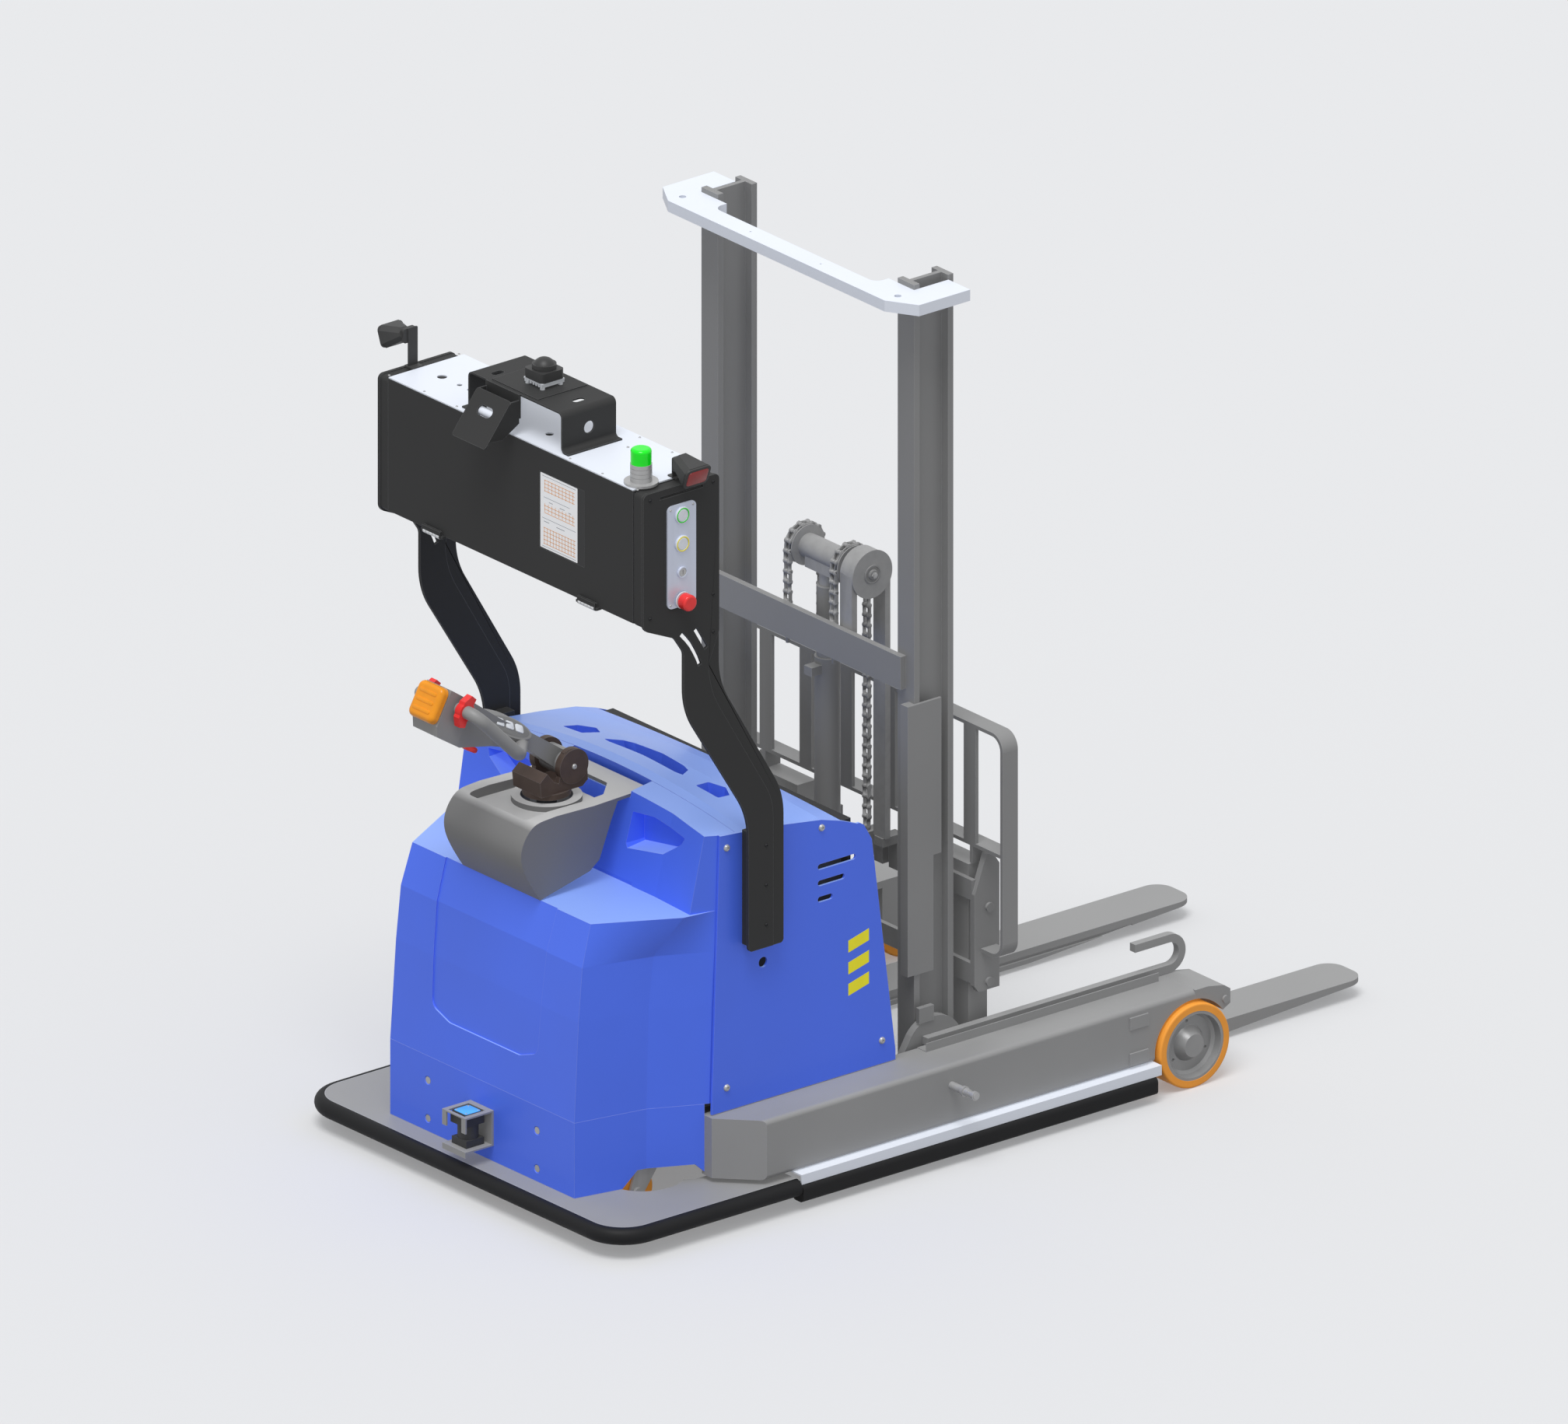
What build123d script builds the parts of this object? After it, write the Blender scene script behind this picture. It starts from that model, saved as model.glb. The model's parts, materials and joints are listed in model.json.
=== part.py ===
from build123d import *
import os
from math import atan2, cos, degrees, hypot, pi, radians, sin

os.makedirs("parts", exist_ok=True)

# Autonomous reach truck, all sizes in millimetres.
# +X runs along the forks, +Y to the truck's left, +Z up, and the floor is Z = 0.
# Places along the truck are measured from the load wheel axle, forward positive.

# Load wheels and legs
axle_x = 603.0          # load wheel axle ahead of the middle of the truck
wheel_radius = 105.0
wheel_width = 85.0
wheel_y = 528.5         # middle of a load wheel from the centre plane
rim_radius = 86.0
stub_radius = 20.0
leg_outer = 560.0
leg_inner = 430.0
leg_bottom = 90.0
leg_top = 240.0
leg_rear = -1372.0
leg_front = 9.0
leg_wall = 18.0
guard_front = 115.0
wheel_room = 8.0        # gap between a load wheel and the arch over it
fit = 0.05              # radial running clearance of a shaft in its bore
seat = 0.3              # gap left between two pieces that rest against each other

# Bumper and platform
bumper_radius = 21.0
bumper_z = 57.0
bumper_rear = -1744.0   # centre line of the rear bumper
bumper_y = 574.0
strip_y = 586.0         # outer face of the white strips
bumper_end = -1202.0
bumper_corner = 90.0
platform_top = 78.0
platform_thick = 8.0
strip_start = -1198.0
strip_end = -113.0

# Body covers
wall = 6.0
skirt_bottom = platform_top + 0.3
skirt_top = 268.0
skirt_rear = -1684.0
ledge_z = 752.0
panel_y = 455.0
deck_z = 252.0          # top of the chassis deck
deck_thick = 12.0
front_wall_x = -940.0
seam_x = -1290.0         # joint between the rear cover and the top cover

# Steering, drive and casters
steer_x = -1490.0
drive_radius = 115.0
drive_width = 70.0
caster_x = -1470.0
caster_y = 330.0
caster_radius = 55.0
caster_width = 38.0
caster_trail = 38.0
screw_ys = (-202.0, 202.0)
screw_zs = (206.0, 110.0)
screw_radius = 5.0
screw_head_radius = 11.0

# Tiller
pivot_x = -1453.0
pivot_z = 1020.0
pivot_radius = 43.0
yoke_half = 57.0
arm_angle = 37.0
arm_length = 200.0      # from the pivot to the middle of the head axis
arm_end = 166.0
head_angle = 29.0
head_length = 252.0

# Support arms and control cabinet
arm_web = 5.0
arm_outer = 492.0
cabinet_rear = -1599.0
cabinet_front = -1370.0
cabinet_bottom = 1541.0
cabinet_top_z = 1876.0
sheet = 3.0

# Mast
mast_x = -644.0
mast_depth = 118.0
mast_inner = 333.0
mast_width = 61.0
mast_top = 2148.0
mast_bottom = 60.0
flange = 16.0
web = 12.0
hump_rear = -765.0
hump_front = -572.0
hump_top = 303.0
hump_inner = 400.0
hump_outer = 420.0
roller_radius = 56.4
roller_rear = -740.0
roller_front = -624.0
bar_top = 2136.0
bar_thick = 28.0

# Lift gear
cylinder_radius = 31.0
rod_radius = 20.0
sleeve_radius = 26.0
cylinder_top = 1077.0
sleeve_top = 1255.0
sheave_z = 1332.0
sheave_radius = 50.0
sheave_y = 85.0
chain_pitch = 25.4      # roller chain over each sheave
chain_bracket = 650.0   # height the chain ends near on the carriage
chain_half = 7.0        # half the height of a link plate
chain_waist = 10.0
chain_plate = 2.0
chain_roller = 5.5
chain_inner = 6.0       # half the room between the inner plates
anchor_z = 1165.0

# Carriage, forks and load backrest
shank_rear = -530.0
shank_front = -474.0
fork_tip = 669.0
fork_y = 317.0
fork_width = 131.0
fork_top = 50.0
fork_heel = 38.0
fork_nose = 11.0
shank_top = 640.0
carriage_bottom = 329.0
plate_outer = 420.0
rest_outer = 496.0
rest_top = 990.0
rest_bottom = 433.0
rest_depth = 46.0
rest_thick = 9.0

# Control panel and screen
panel_x = -1486.0
screen_y = -178.0
screen_width = 143.0
screen_z = 1723.0
screen_height = 192.0
hinge_z = 1538.0
hinge_ys = (-287.0, 287.0)
throttle_s = 208.0      # throttle shaft up the tiller head
button_length = 17.0
button_width = 24.0
button_places = (-22.0, 6.0, 34.0)
button_tops = (15.0, 18.0, 20.0)
button_floor = -2.0
button_travel = 4.0     # way of the safety button
throttle_n = 8.0        # height of the throttle shaft over the head axis
loop_radius = 16.0
arm_half = 22.0
panel_controls = (
    # name, bezel radius, height, radius
    ("start_button", 21.0, 1801.0, 15.0),
    ("reset_button", 21.0, 1729.0, 15.0),
    ("key_switch", 14.0, 1657.0, 10.0),
    ("emergency_stop", 16.0, 1587.0, 11.0),
)

# Sensors on the cabinet
lid_top = cabinet_top_z + sheet
bridge_rear = -1585.0
bridge_front = -1422.0
bridge_half = 172.0
bridge_foot = lid_top + 2.3
bridge_top = 1978.0
lidar_x = -1503.0
lidar_y = -7.0
camera_y = 42.0
camera_radius = 11.0
light_x = -1555.0
light_y = -430.0

# Hoist run and carriage
hose_y = -140.0
hose_width = 44.0
hose_pulley = 42.0
hose_half = 8.0
carriage_roller_zs = (390.0, 580.0)
carriage_roller_radius = 42.7
rest_rear = -523.0
control_gap = 0.5       # radial gap of a push button in the panel
crossbar_hole = 8.5
chain_bend = 38.0
chain_bend_z = 290.0

half_wheel = wheel_width / 2
pocket_radius = wheel_radius + wheel_room
cheek_outer = wheel_y - half_wheel - 6
channel_bottom = leg_bottom + leg_wall
channel_top = leg_top - leg_wall
roller_z = (channel_bottom + channel_top) / 2
arm_inner = panel_y
rail_rear = mast_x - mast_depth / 2
mast_outer = mast_inner + mast_width
chain_start = chain_half + seat
chain_rise = sheave_z - anchor_z
half_turn = pi * sheave_radius
chain_path = 2 * sheave_z - anchor_z - chain_bracket + half_turn - 2 * chain_start
chain_links = int(chain_path / chain_pitch + 0.5)
chain_total = chain_links * chain_pitch + 2 * chain_start
chain_foot = sheave_z + chain_rise + half_turn - chain_total
chord_sag = sheave_radius * (1 - cos(chain_pitch / sheave_radius / 2))
sheave_core = sheave_radius - chord_sag - chain_half - seat
sides = {"left": 1, "right": -1}


def level(z):
    """Horizontal plane at height z, its origin over the load wheel axle."""
    return Plane(origin=(axle_x, 0, z), x_dir=(1, 0, 0), z_dir=(0, 0, 1))


def upright(y):
    """Plane along the truck at y, seen from the right: extrudes towards -Y."""
    return Plane(origin=(axle_x, y, 0), x_dir=(1, 0, 0), z_dir=(0, -1, 0))


def across(x):
    """Plane across the truck at x from the load wheel axle: extrudes towards +X."""
    return Plane(origin=(axle_x + x, 0, 0), x_dir=(0, 1, 0), z_dir=(1, 0, 0))


def at(x, y, z):
    """A place given from the load wheel axle."""
    return Location((axle_x + x, y, z))


def slab(x, y, z, mode=Mode.ADD):
    """Add or cut the block between the pairs of limits x, y and z."""
    with Locations(at((x[0] + x[1]) / 2, (y[0] + y[1]) / 2, (z[0] + z[1]) / 2)):
        Box(x[1] - x[0], abs(y[1] - y[0]), z[1] - z[0], mode=mode)


def disc(x, y, z, radius, mode=Mode.ADD):
    """Add or cut a cylinder along Y between the limits y."""
    with Locations(at(x, (y[0] + y[1]) / 2, z)):
        Cylinder(radius, abs(y[1] - y[0]), rotation=(90, 0, 0), mode=mode)


def post(x, y, z, radius, mode=Mode.ADD):
    """Add or cut a vertical cylinder between the limits z."""
    with Locations(at(x, y, (z[0] + z[1]) / 2)):
        Cylinder(radius, z[1] - z[0], mode=mode)


camera_plane = Plane(origin=(axle_x - 1650, camera_y, bridge_top - 62), x_dir=(0, -1, 0),
                     z_dir=(-cos(radians(38)), 0, sin(radians(38))))


def save(builder, name):
    """Name the finished piece and write it."""
    builder.part.label = name
    export_step(builder.part, f"parts/{name}.step")


# Load wheels: a polyurethane tyre on a dished cast rim that turns on a stub axle
for side, sign in sides.items():
    spin = Plane(origin=(axle_x, sign * wheel_y, wheel_radius), x_dir=(0, sign, 0), z_dir=(sign, 0, 0))
    spin_axis = Axis(spin.origin, (0, 1, 0))

    with BuildPart() as load_tyre:
        with BuildSketch(spin):
            with Locations((0, (rim_radius + fit + wheel_radius) / 2)):
                Rectangle(wheel_width, wheel_radius - rim_radius - fit)
        revolve(axis=spin_axis)
        fillet(load_tyre.edges().filter_by(GeomType.CIRCLE).group_by(SortBy.RADIUS)[-1], 5)
    save(load_tyre, f"load_tyre_{side}")

    with BuildPart() as load_rim:
        with BuildSketch(spin):
            with BuildLine():
                Polyline(
                    (-half_wheel + 2, stub_radius + fit), (-half_wheel + 2, rim_radius),
                    (half_wheel - 1, rim_radius), (half_wheel - 1, rim_radius - 7),
                    (half_wheel - 20, rim_radius - 11), (half_wheel - 26, rim_radius - 18),
                    (half_wheel - 26, 44), (half_wheel - 7, 31), (half_wheel - 3, 28),
                    (half_wheel - 3, 0), (half_wheel - 16, 0),
                    (half_wheel - 16, stub_radius + fit), close=True)
            make_face()
        revolve(axis=spin_axis)
        with BuildSketch(Plane(origin=(axle_x, sign * (wheel_y + half_wheel), wheel_radius),
                               x_dir=(-sign, 0, 0), z_dir=(0, sign, 0))):
            with PolarLocations(56, 3, start_angle=95):
                Circle(4.5)
        extrude(amount=-34, mode=Mode.SUBTRACT)
    save(load_rim, f"load_rim_{side}")

# Legs: box section with a channel open to the inside, in which the mast rollers run
for side, sign in sides.items():
    with BuildPart() as leg:
        with BuildSketch(level(leg_bottom)):
            with BuildLine():
                Polyline(
                    (leg_rear, sign * leg_inner), (leg_rear, sign * (leg_outer - 93)),
                    (leg_rear + 90, sign * leg_outer), (leg_front, sign * leg_outer),
                    (leg_front, sign * leg_inner), close=True)
            make_face()
        extrude(amount=leg_top - leg_bottom)
        long_edges = leg.edges().filter_by(Axis.X)
        outer_edges = long_edges.sort_by(Axis.Y)[-2:] if sign > 0 else long_edges.sort_by(Axis.Y)[:2]
        fillet(outer_edges, 12)
        slab((leg_rear + 180, -pocket_radius - 15), (sign * (leg_inner - 1), sign * (leg_outer - 20)),
             (channel_bottom, channel_top), Mode.SUBTRACT)
        disc(0, (sign * cheek_outer, sign * (leg_outer + 1)), wheel_radius, pocket_radius, Mode.SUBTRACT)
        # notch for the stub axle, open to the front
        disc(0, (sign * (leg_inner - 1), sign * (cheek_outer + 1)), wheel_radius, stub_radius + seat,
             Mode.SUBTRACT)
        slab((0, leg_front + 1), (sign * (leg_inner - 1), sign * (cheek_outer + 1)),
             (wheel_radius - stub_radius - seat, wheel_radius + stub_radius + seat), Mode.SUBTRACT)
        # two cover plates on the outer face behind the wheel
        for plate_z in (205, 115):
            slab((-189, -134), (sign * leg_outer, sign * (leg_outer + 4)), (plate_z - 15, plate_z + 15))
        # trough of the cable chain
        if side == "right":
            slab((-723, -23), (-leg_inner - 34, -leg_inner - 32), (leg_top - 1, leg_top + 22))
            slab((-723, -23), (-leg_inner - 34, -leg_inner), (leg_top - 1, leg_top + 2))
    save(leg, f"leg_{side}")

# Guard over each load wheel, bolted to the front of the leg
with BuildPart() as wheel_guards:
    for sign in sides.values():
        with BuildSketch(upright(sign * leg_inner)):
            with BuildLine():
                Polyline(
                    (leg_front + seat, leg_bottom + 4), (leg_front + seat, leg_top),
                    (48, leg_top), (96, leg_top - 9), (guard_front, leg_top - 22),
                    (guard_front, 182), (96, 172), (62, leg_bottom + 4), close=True)
            make_face()
        extrude(amount=-sign * (leg_outer - leg_inner))
        disc(0, (sign * cheek_outer, sign * (leg_outer + 1)), wheel_radius, pocket_radius, Mode.SUBTRACT)
        slab((leg_front, guard_front + 1), (sign * cheek_outer, sign * (leg_outer + 1)),
             (leg_bottom, 170), Mode.SUBTRACT)
        # stub axle, carried through the cheek of the leg
        disc(0, (sign * (leg_inner + 6), sign * (wheel_y + half_wheel - 18)), wheel_radius, stub_radius)
        slab((0, leg_front + 1), (sign * (leg_inner + 6), sign * (cheek_outer - 1)),
             (wheel_radius - stub_radius, wheel_radius + stub_radius))
        disc(99, (sign * leg_outer, sign * (leg_outer + 5)), 196, 9)
        slab((24, 40), (sign * leg_inner, sign * (leg_inner - 8)), (leg_top - 40, leg_top - 12))
save(wheel_guards, "wheel_guards")

# Round sensors that stand out of the leg sides
with BuildPart() as leg_sensors:
    for sign in sides.values():
        disc(-725, (sign * leg_outer, sign * (leg_outer + 66)), 188, 9.5)
        disc(-725, (sign * (leg_outer + 44), sign * (leg_outer + 52)), 188, 12.5)
        disc(-725, (sign * (leg_outer + 66), sign * (leg_outer + 92)), 188, 8)
        disc(-725, (sign * (leg_outer + 82), sign * (leg_outer + 90)), 188, 11)
save(leg_sensors, "leg_sensors")

# Contact bumper round the rear, and the bumpers under the legs
with BuildPart() as bumpers:
    with BuildLine(level(bumper_z)) as bumper_path:
        FilletPolyline(
            (bumper_end, -bumper_y), (bumper_rear, -bumper_y), (bumper_rear, bumper_y),
            (bumper_end, bumper_y), radius=bumper_corner)
    with BuildSketch(Plane(origin=bumper_path.line @ 0, z_dir=bumper_path.line % 0)):
        Circle(bumper_radius)
    sweep()
    # bumpers that carry on below the legs
    for sign in sides.values():
        with BuildSketch(across(bumper_end + 3)):
            with Locations((sign * bumper_y, 43)):
                RectangleRounded(40, 44, 12)
        extrude(amount=strip_end - bumper_end - 20)
save(bumpers, "bumpers")

with BuildPart() as bumper_strips:
    for sign in sides.values():
        inner_y = leg_outer - 38
        slab((strip_start, strip_end), (sign * inner_y, sign * strip_y), (86, leg_bottom))
        slab((strip_start, strip_end), (sign * (strip_y - 4), sign * strip_y), (65.3, 87))
save(bumper_strips, "bumper_strips")

# Platform plate inside the bumper, open under the body for the wheels
with BuildPart() as platform_plate:
    with BuildSketch(level(platform_top - platform_thick)):
        with BuildLine():
            Polyline(
                (bumper_rear, -bumper_y), (bumper_end, -bumper_y), (bumper_end, -424),
                (-1385, -424), (-1500, -362), (skirt_rear + 12, -325), (skirt_rear + 12, 325), (-1500, 362),
                (-1385, 424), (bumper_end, 424), (bumper_end, bumper_y),
                (bumper_rear, bumper_y), close=True)
        make_face()
        # room for the casters to swivel
        with Locations((caster_x, -caster_y), (caster_x, caster_y)):
            Circle(98, mode=Mode.SUBTRACT)
    extrude(amount=platform_thick)
    outer_corners = platform_plate.edges().filter_by(Axis.Z).group_by(Axis.X)[0]
    fillet(outer_corners, bumper_corner)
    with BuildLine(level(bumper_z)) as trim_path:
        FilletPolyline(
            (bumper_end, -bumper_y), (bumper_rear, -bumper_y), (bumper_rear, bumper_y),
            (bumper_end, bumper_y), radius=bumper_corner)
    with BuildSketch(Plane(origin=trim_path.line @ 0, z_dir=trim_path.line % 0)):
        Circle(bumper_radius + seat)
    sweep(mode=Mode.SUBTRACT)
save(platform_plate, "platform_plate")

# Chassis: deck plate, three cross tubes between the legs, front wall and wheel mounts
with BuildPart() as chassis_frame:
    with BuildSketch(level(deck_z - deck_thick)):
        with BuildLine():
            Polyline(
                (skirt_rear + 14, -320), (-1500, -352), (leg_rear, -leg_inner + 8), (-812, -leg_inner + 8),
                (-812, leg_inner - 8), (leg_rear, leg_inner - 8), (-1500, 352), (skirt_rear + 14, 320),
                close=True)
        make_face()
        with Locations((steer_x, 0)):
            Circle(92, mode=Mode.SUBTRACT)
    extrude(amount=deck_thick)
    for tube_x in (-1200, -1035, -872):
        slab((tube_x, tube_x + 60), (-leg_inner, leg_inner), (leg_bottom + 6, deck_z - deck_thick))
    slab((front_wall_x, front_wall_x + 8), (-440, 440), (deck_z, 878))
    slab((front_wall_x - 30, front_wall_x + 8), (-440, 440), (870, 878))
    for sign in sides.values():
        slab((caster_x - 50, caster_x + 50), (sign * (caster_y - 50), sign * (caster_y + 28)),
             (160, deck_z - deck_thick))
save(chassis_frame, "chassis_frame")

# Battery on the deck
with BuildPart() as battery_pack:
    slab((-1290, front_wall_x - seat), (-415, 415), (deck_z, 850))
    top_face = battery_pack.faces().sort_by(Axis.Z)[-1]
    chamfer(top_face.edges(), 12)
    for row in (-1, 1):
        post(-1115, row * 120, (850, 872), 14)
save(battery_pack, "battery_pack")

# Rear skirt: folded steel apron with an arch over each caster
skirt_outline = [(skirt_rear, 341), (-1497, 378), (leg_rear - seat, 440)]
with BuildPart() as rear_skirt:
    right_side = [(x, -y) for x, y in reversed(skirt_outline)]
    with BuildSketch(level(skirt_bottom)):
        with BuildLine():
            Polyline(*right_side, *skirt_outline)
            offset(amount=wall, kind=Kind.INTERSECTION, side=Side.RIGHT, closed=True)
        make_face()
    extrude(amount=skirt_top - skirt_bottom)
    with BuildSketch(upright(0)):
        Polygon((-1560, skirt_bottom - 1), (-1520, 118), (-1392, 118), (-1352, skirt_bottom - 1), align=None)
    extrude(amount=leg_outer, both=True, mode=Mode.SUBTRACT)
    slab((leg_rear - seat, leg_rear + 20), (-leg_outer, leg_outer), (skirt_bottom - 1, skirt_top + 1),
         Mode.SUBTRACT)
    with Locations(*[Location((axle_x + skirt_rear, y, z), (0, -90, 0))
                     for y in screw_ys for z in screw_zs]):
        CounterSinkHole(screw_radius, screw_head_radius, depth=wall + 1)
save(rear_skirt, "rear_skirt")

# Countersunk screws of the skirt
with BuildPart() as cover_screws:
    with Locations(*[Location((axle_x + skirt_rear + 1, y, z), (0, -90, 0))
                     for y in screw_ys for z in screw_zs]):
        Cylinder(screw_radius - fit, wall + 6, align=(Align.CENTER, Align.CENTER, Align.MAX))
        Cone(screw_radius - fit, screw_head_radius - 2, screw_head_radius - screw_radius - 2,
             align=(Align.CENTER, Align.CENTER, Align.MAX))
save(cover_screws, "cover_screws")


# Crown: the domed line that the covers follow at the top, as rings across the truck
crown_rings = [
    # place along the truck, height in the middle, height at the sides
    (-1440, 930, 925), (-1374, 958, 942), (-1260, 977, 932), (-1141, 955, 919),
    (-1032, 921, 903), (-972, 897, 885), (-925, 876, 866),
    (-800, 876, 866),
]


def crown(drop):
    """Solid under the domed top line, lowered by drop."""
    with BuildPart() as dome:
        for x, middle, side_z in crown_rings:
            with BuildSketch(across(x)):
                with BuildLine():
                    ThreePointArc((-panel_y, side_z - drop), (0, middle - drop), (panel_y, side_z - drop))
                    Polyline((panel_y, side_z - drop), (panel_y, 200),
                             (-panel_y, 200), (-panel_y, side_z - drop))
                make_face()
        loft(ruled=True)
    return dome.part


def body_rows(rows, inset):
    """Ruled body through outlines at rising heights, drawn in by inset on all sides."""
    with BuildPart() as body:
        for z, points in rows:
            left = [(x + inset, y - inset) for x, y in points[:-1]] + [(seam_x + 1, points[-1][1] - inset)]
            right = [(x, -y) for x, y in reversed(left)]
            with BuildSketch(level(z)):
                with BuildLine():
                    Polyline(*left, *right, close=True)
                make_face()
        loft(ruled=True)
    return body.part


# Rear cover: moulded hood over the drive unit, with a ledge round the tiller
lower_rows = [
    (skirt_top + seat, [(skirt_rear, 341), (-1497, 378), (-1362, 445), (seam_x, 448.5)]),
    (517, [(-1669, 338), (-1492, 380), (-1357, 447), (seam_x, 448.5)]),
    (650, [(-1656, 336), (-1480, 383), (-1350, 448), (seam_x, 448.5)]),
    (ledge_z, [(-1626, 330), (-1432, 436), (-1346, 448.2), (seam_x, 448.5)]),
]
upper_rows = [
    (ledge_z - 8, [(-1404, 292), (-1412, 432), (-1346, 448.2), (seam_x, 448.5)]),
    (990, [(-1344, 302), (-1364, 442), (-1340, 448.2), (seam_x, 448.5)]),
]
inner_lower = [(skirt_top - 1, lower_rows[0][1])] + lower_rows[1:3] + [(ledge_z - wall, lower_rows[3][1])]
inner_upper = [(ledge_z - wall - 1, upper_rows[0][1]), upper_rows[1]]
dome_part = crown(0)
dome_inside = crown(wall)
lower_void = body_rows(inner_lower, wall)
upper_void = body_rows(inner_upper, wall) & dome_inside


def side_pocket(sign, grow):
    """Scoop beside the tiller hood, drawn larger by grow to keep a wall behind it."""
    with BuildPart() as scoop:
        with BuildSketch(across(-1430)):
            with BuildLine():
                Polyline((sign * 152, 838), (sign * 164, 824), (sign * 295, 846), (sign * 362, 890),
                         (sign * 378, 921), (sign * 240, 936), (sign * 152, 925), close=True)
            make_face()
            if grow:
                offset(amount=grow, kind=Kind.INTERSECTION)
        extrude(amount=100 + grow, taper=8)
    return scoop.part


with BuildPart() as rear_panel_cut:
    with BuildSketch(across(-1800)):
        with BuildLine():
            FilletPolyline((-208, 800), (-196, 395), (-130, 372), (130, 372), (196, 395), (208, 800),
                           radius=28)
            Line((208, 800), (-208, 800))
        make_face()
    extrude(amount=400)
    add(body_rows(lower_rows, 3.5), mode=Mode.SUBTRACT)
with BuildPart() as rear_cover:
    add(body_rows(lower_rows, 0))
    add(body_rows(upper_rows, 0) & dome_part)
    # swept foot of the wall behind the ledge
    with BuildSketch(upright(0)):
        with BuildLine():
            Polyline((-1398, 840), (-1398, ledge_z - 4), (-1580, ledge_z - 4), (-1580, ledge_z))
            Spline((-1580, ledge_z), (-1476, 782), (-1429, 824), (-1398, 840))
        make_face()
    extrude(amount=290, both=True)
    # recess of the operator's pocket on each side of the tiller
    for sign in sides.values():
        add(side_pocket(sign, 0), mode=Mode.SUBTRACT)
    # shallow panel on the rear face
    add(rear_panel_cut.part, mode=Mode.SUBTRACT)
    # hollow inside, open below and towards the battery
    add(lower_void, mode=Mode.SUBTRACT)
    add(upper_void - side_pocket(1, wall) - side_pocket(-1, wall), mode=Mode.SUBTRACT)
    # way for the steering column, and the notch under the tip of the tiller hood
    post(steer_x, 0, (700, 1000), 60, Mode.SUBTRACT)
    slab((-1440, seam_x + 2), (-143.5, 143.5), (943.5, 1000), Mode.SUBTRACT)
save(rear_cover, "rear_cover")

# Top cover over the battery with three hand pockets
with BuildPart() as top_cover:
    slab((seam_x + 2, front_wall_x - 31), (-panel_y + wall + seat, panel_y - wall - seat), (850, 1000))
    add(dome_part, mode=Mode.INTERSECT)
    add(crown(34), mode=Mode.SUBTRACT)
    with BuildSketch(level(1000)):
        with BuildLine():
            FilletPolyline((-1214, 165), (-1206, 0), (-1214, -165), (-1144, -120), (-1130, 0), (-1144, 120),
                           close=True, radius=8)
        make_face()
        for sign in sides.values():
            with BuildLine():
                FilletPolyline((-1222, sign * 205), (-1160, sign * 188), (-1132, sign * 240),
                               (-1160, sign * 292), (-1218, sign * 300), close=True, radius=8)
            make_face()
    extrude(amount=-85, taper=12, mode=Mode.SUBTRACT)
save(top_cover, "top_cover")

# Side panels with cooling slots, fixed outside the frame
with BuildPart() as side_panels:
    for sign in sides.values():
        with BuildSketch(upright(sign * (panel_y - wall))):
            with BuildLine():
                Polyline((-1362, leg_top + 2), (-809, leg_top + 2), (-809, 268), (-880, 816), (-904, 858),
                         (-938, 880), (-938, 990), (-1336, 990), close=True)
            make_face()
            with Locations((-1208, 589)):
                Circle(13, mode=Mode.SUBTRACT)
            for slot_z, slot_length in ((785, 114), (744, 81), (703, 45)):
                with Locations((-1043 + slot_length / 2, slot_z)):
                    SlotOverall(slot_length, 14, mode=Mode.SUBTRACT)
        extrude(amount=-sign * wall)
    add(dome_part, mode=Mode.INTERSECT)
save(side_panels, "side_panels")

# Grey hood round the steering column, with a sunk deck between two rims
with BuildPart() as tiller_hood:
    with BuildSketch(upright(0)):
        with BuildLine():
            Spline((-1626, 753), (-1664, 815), (-1682, 889), (-1651, 939), (-1576, 953),
                   tangents=((-0.55, 0.83), (1, 0.08)))
            Polyline((-1576, 953), (-1463, 950), (-1300, 955), (-1300, 948), (-1392, 944), (-1412, 900),
                     (-1447, 811), (-1476, 789), (-1626, 753))
        make_face()
    extrude(amount=143, both=True)
    # sunk deck
    with BuildSketch(level(1000)):
        with BuildLine():
            FilletPolyline((-1648, -118), (-1400, -112), (-1345, -60), (-1345, 60), (-1400, 112),
                           (-1648, 118), close=True, radius=20)
        make_face()
    extrude(amount=-70, taper=10, mode=Mode.SUBTRACT)
    # hollow from below
    with BuildSketch(upright(0)):
        with BuildLine():
            Polyline((-1627, 745), (-1622, 770), (-1658, 850), (-1674, 889), (-1640, 922), (-1410, 922),
                     (-1425, 880), (-1455, 800), (-1480, 780), close=True)
        make_face()
    extrude(amount=143 - wall, both=True, mode=Mode.SUBTRACT)
    post(steer_x, 0, (900, 1000), 62, Mode.SUBTRACT)
    # raised steering ring
    with Locations(at(steer_x, 0, 936)):
        Cylinder(84, 14)
        Cylinder(62, 20, mode=Mode.SUBTRACT)
save(tiller_hood, "tiller_hood")

# Rear safety scanner under a folded guard on the rear skirt
with BuildPart() as scanner_guard:
    with BuildSketch(upright(0)):
        with BuildLine():
            Polyline((skirt_rear - seat, 207), (-1770, 207), (-1770, 168), (-1766, 168), (-1766, 203),
                     (-1690, 203), (-1690, 122), (-1770, 122), (-1770, 107), (-1766, 107), (-1766, 118),
                     (skirt_rear - seat, 118), close=True)
        make_face()
    extrude(amount=43, both=True)
    slab((-1762, -1700), (-30, 30), (202, 208), Mode.SUBTRACT)
    slab((-1771, -1765), (-28, 28), (150, 204), Mode.SUBTRACT)
save(scanner_guard, "scanner_guard")

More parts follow.
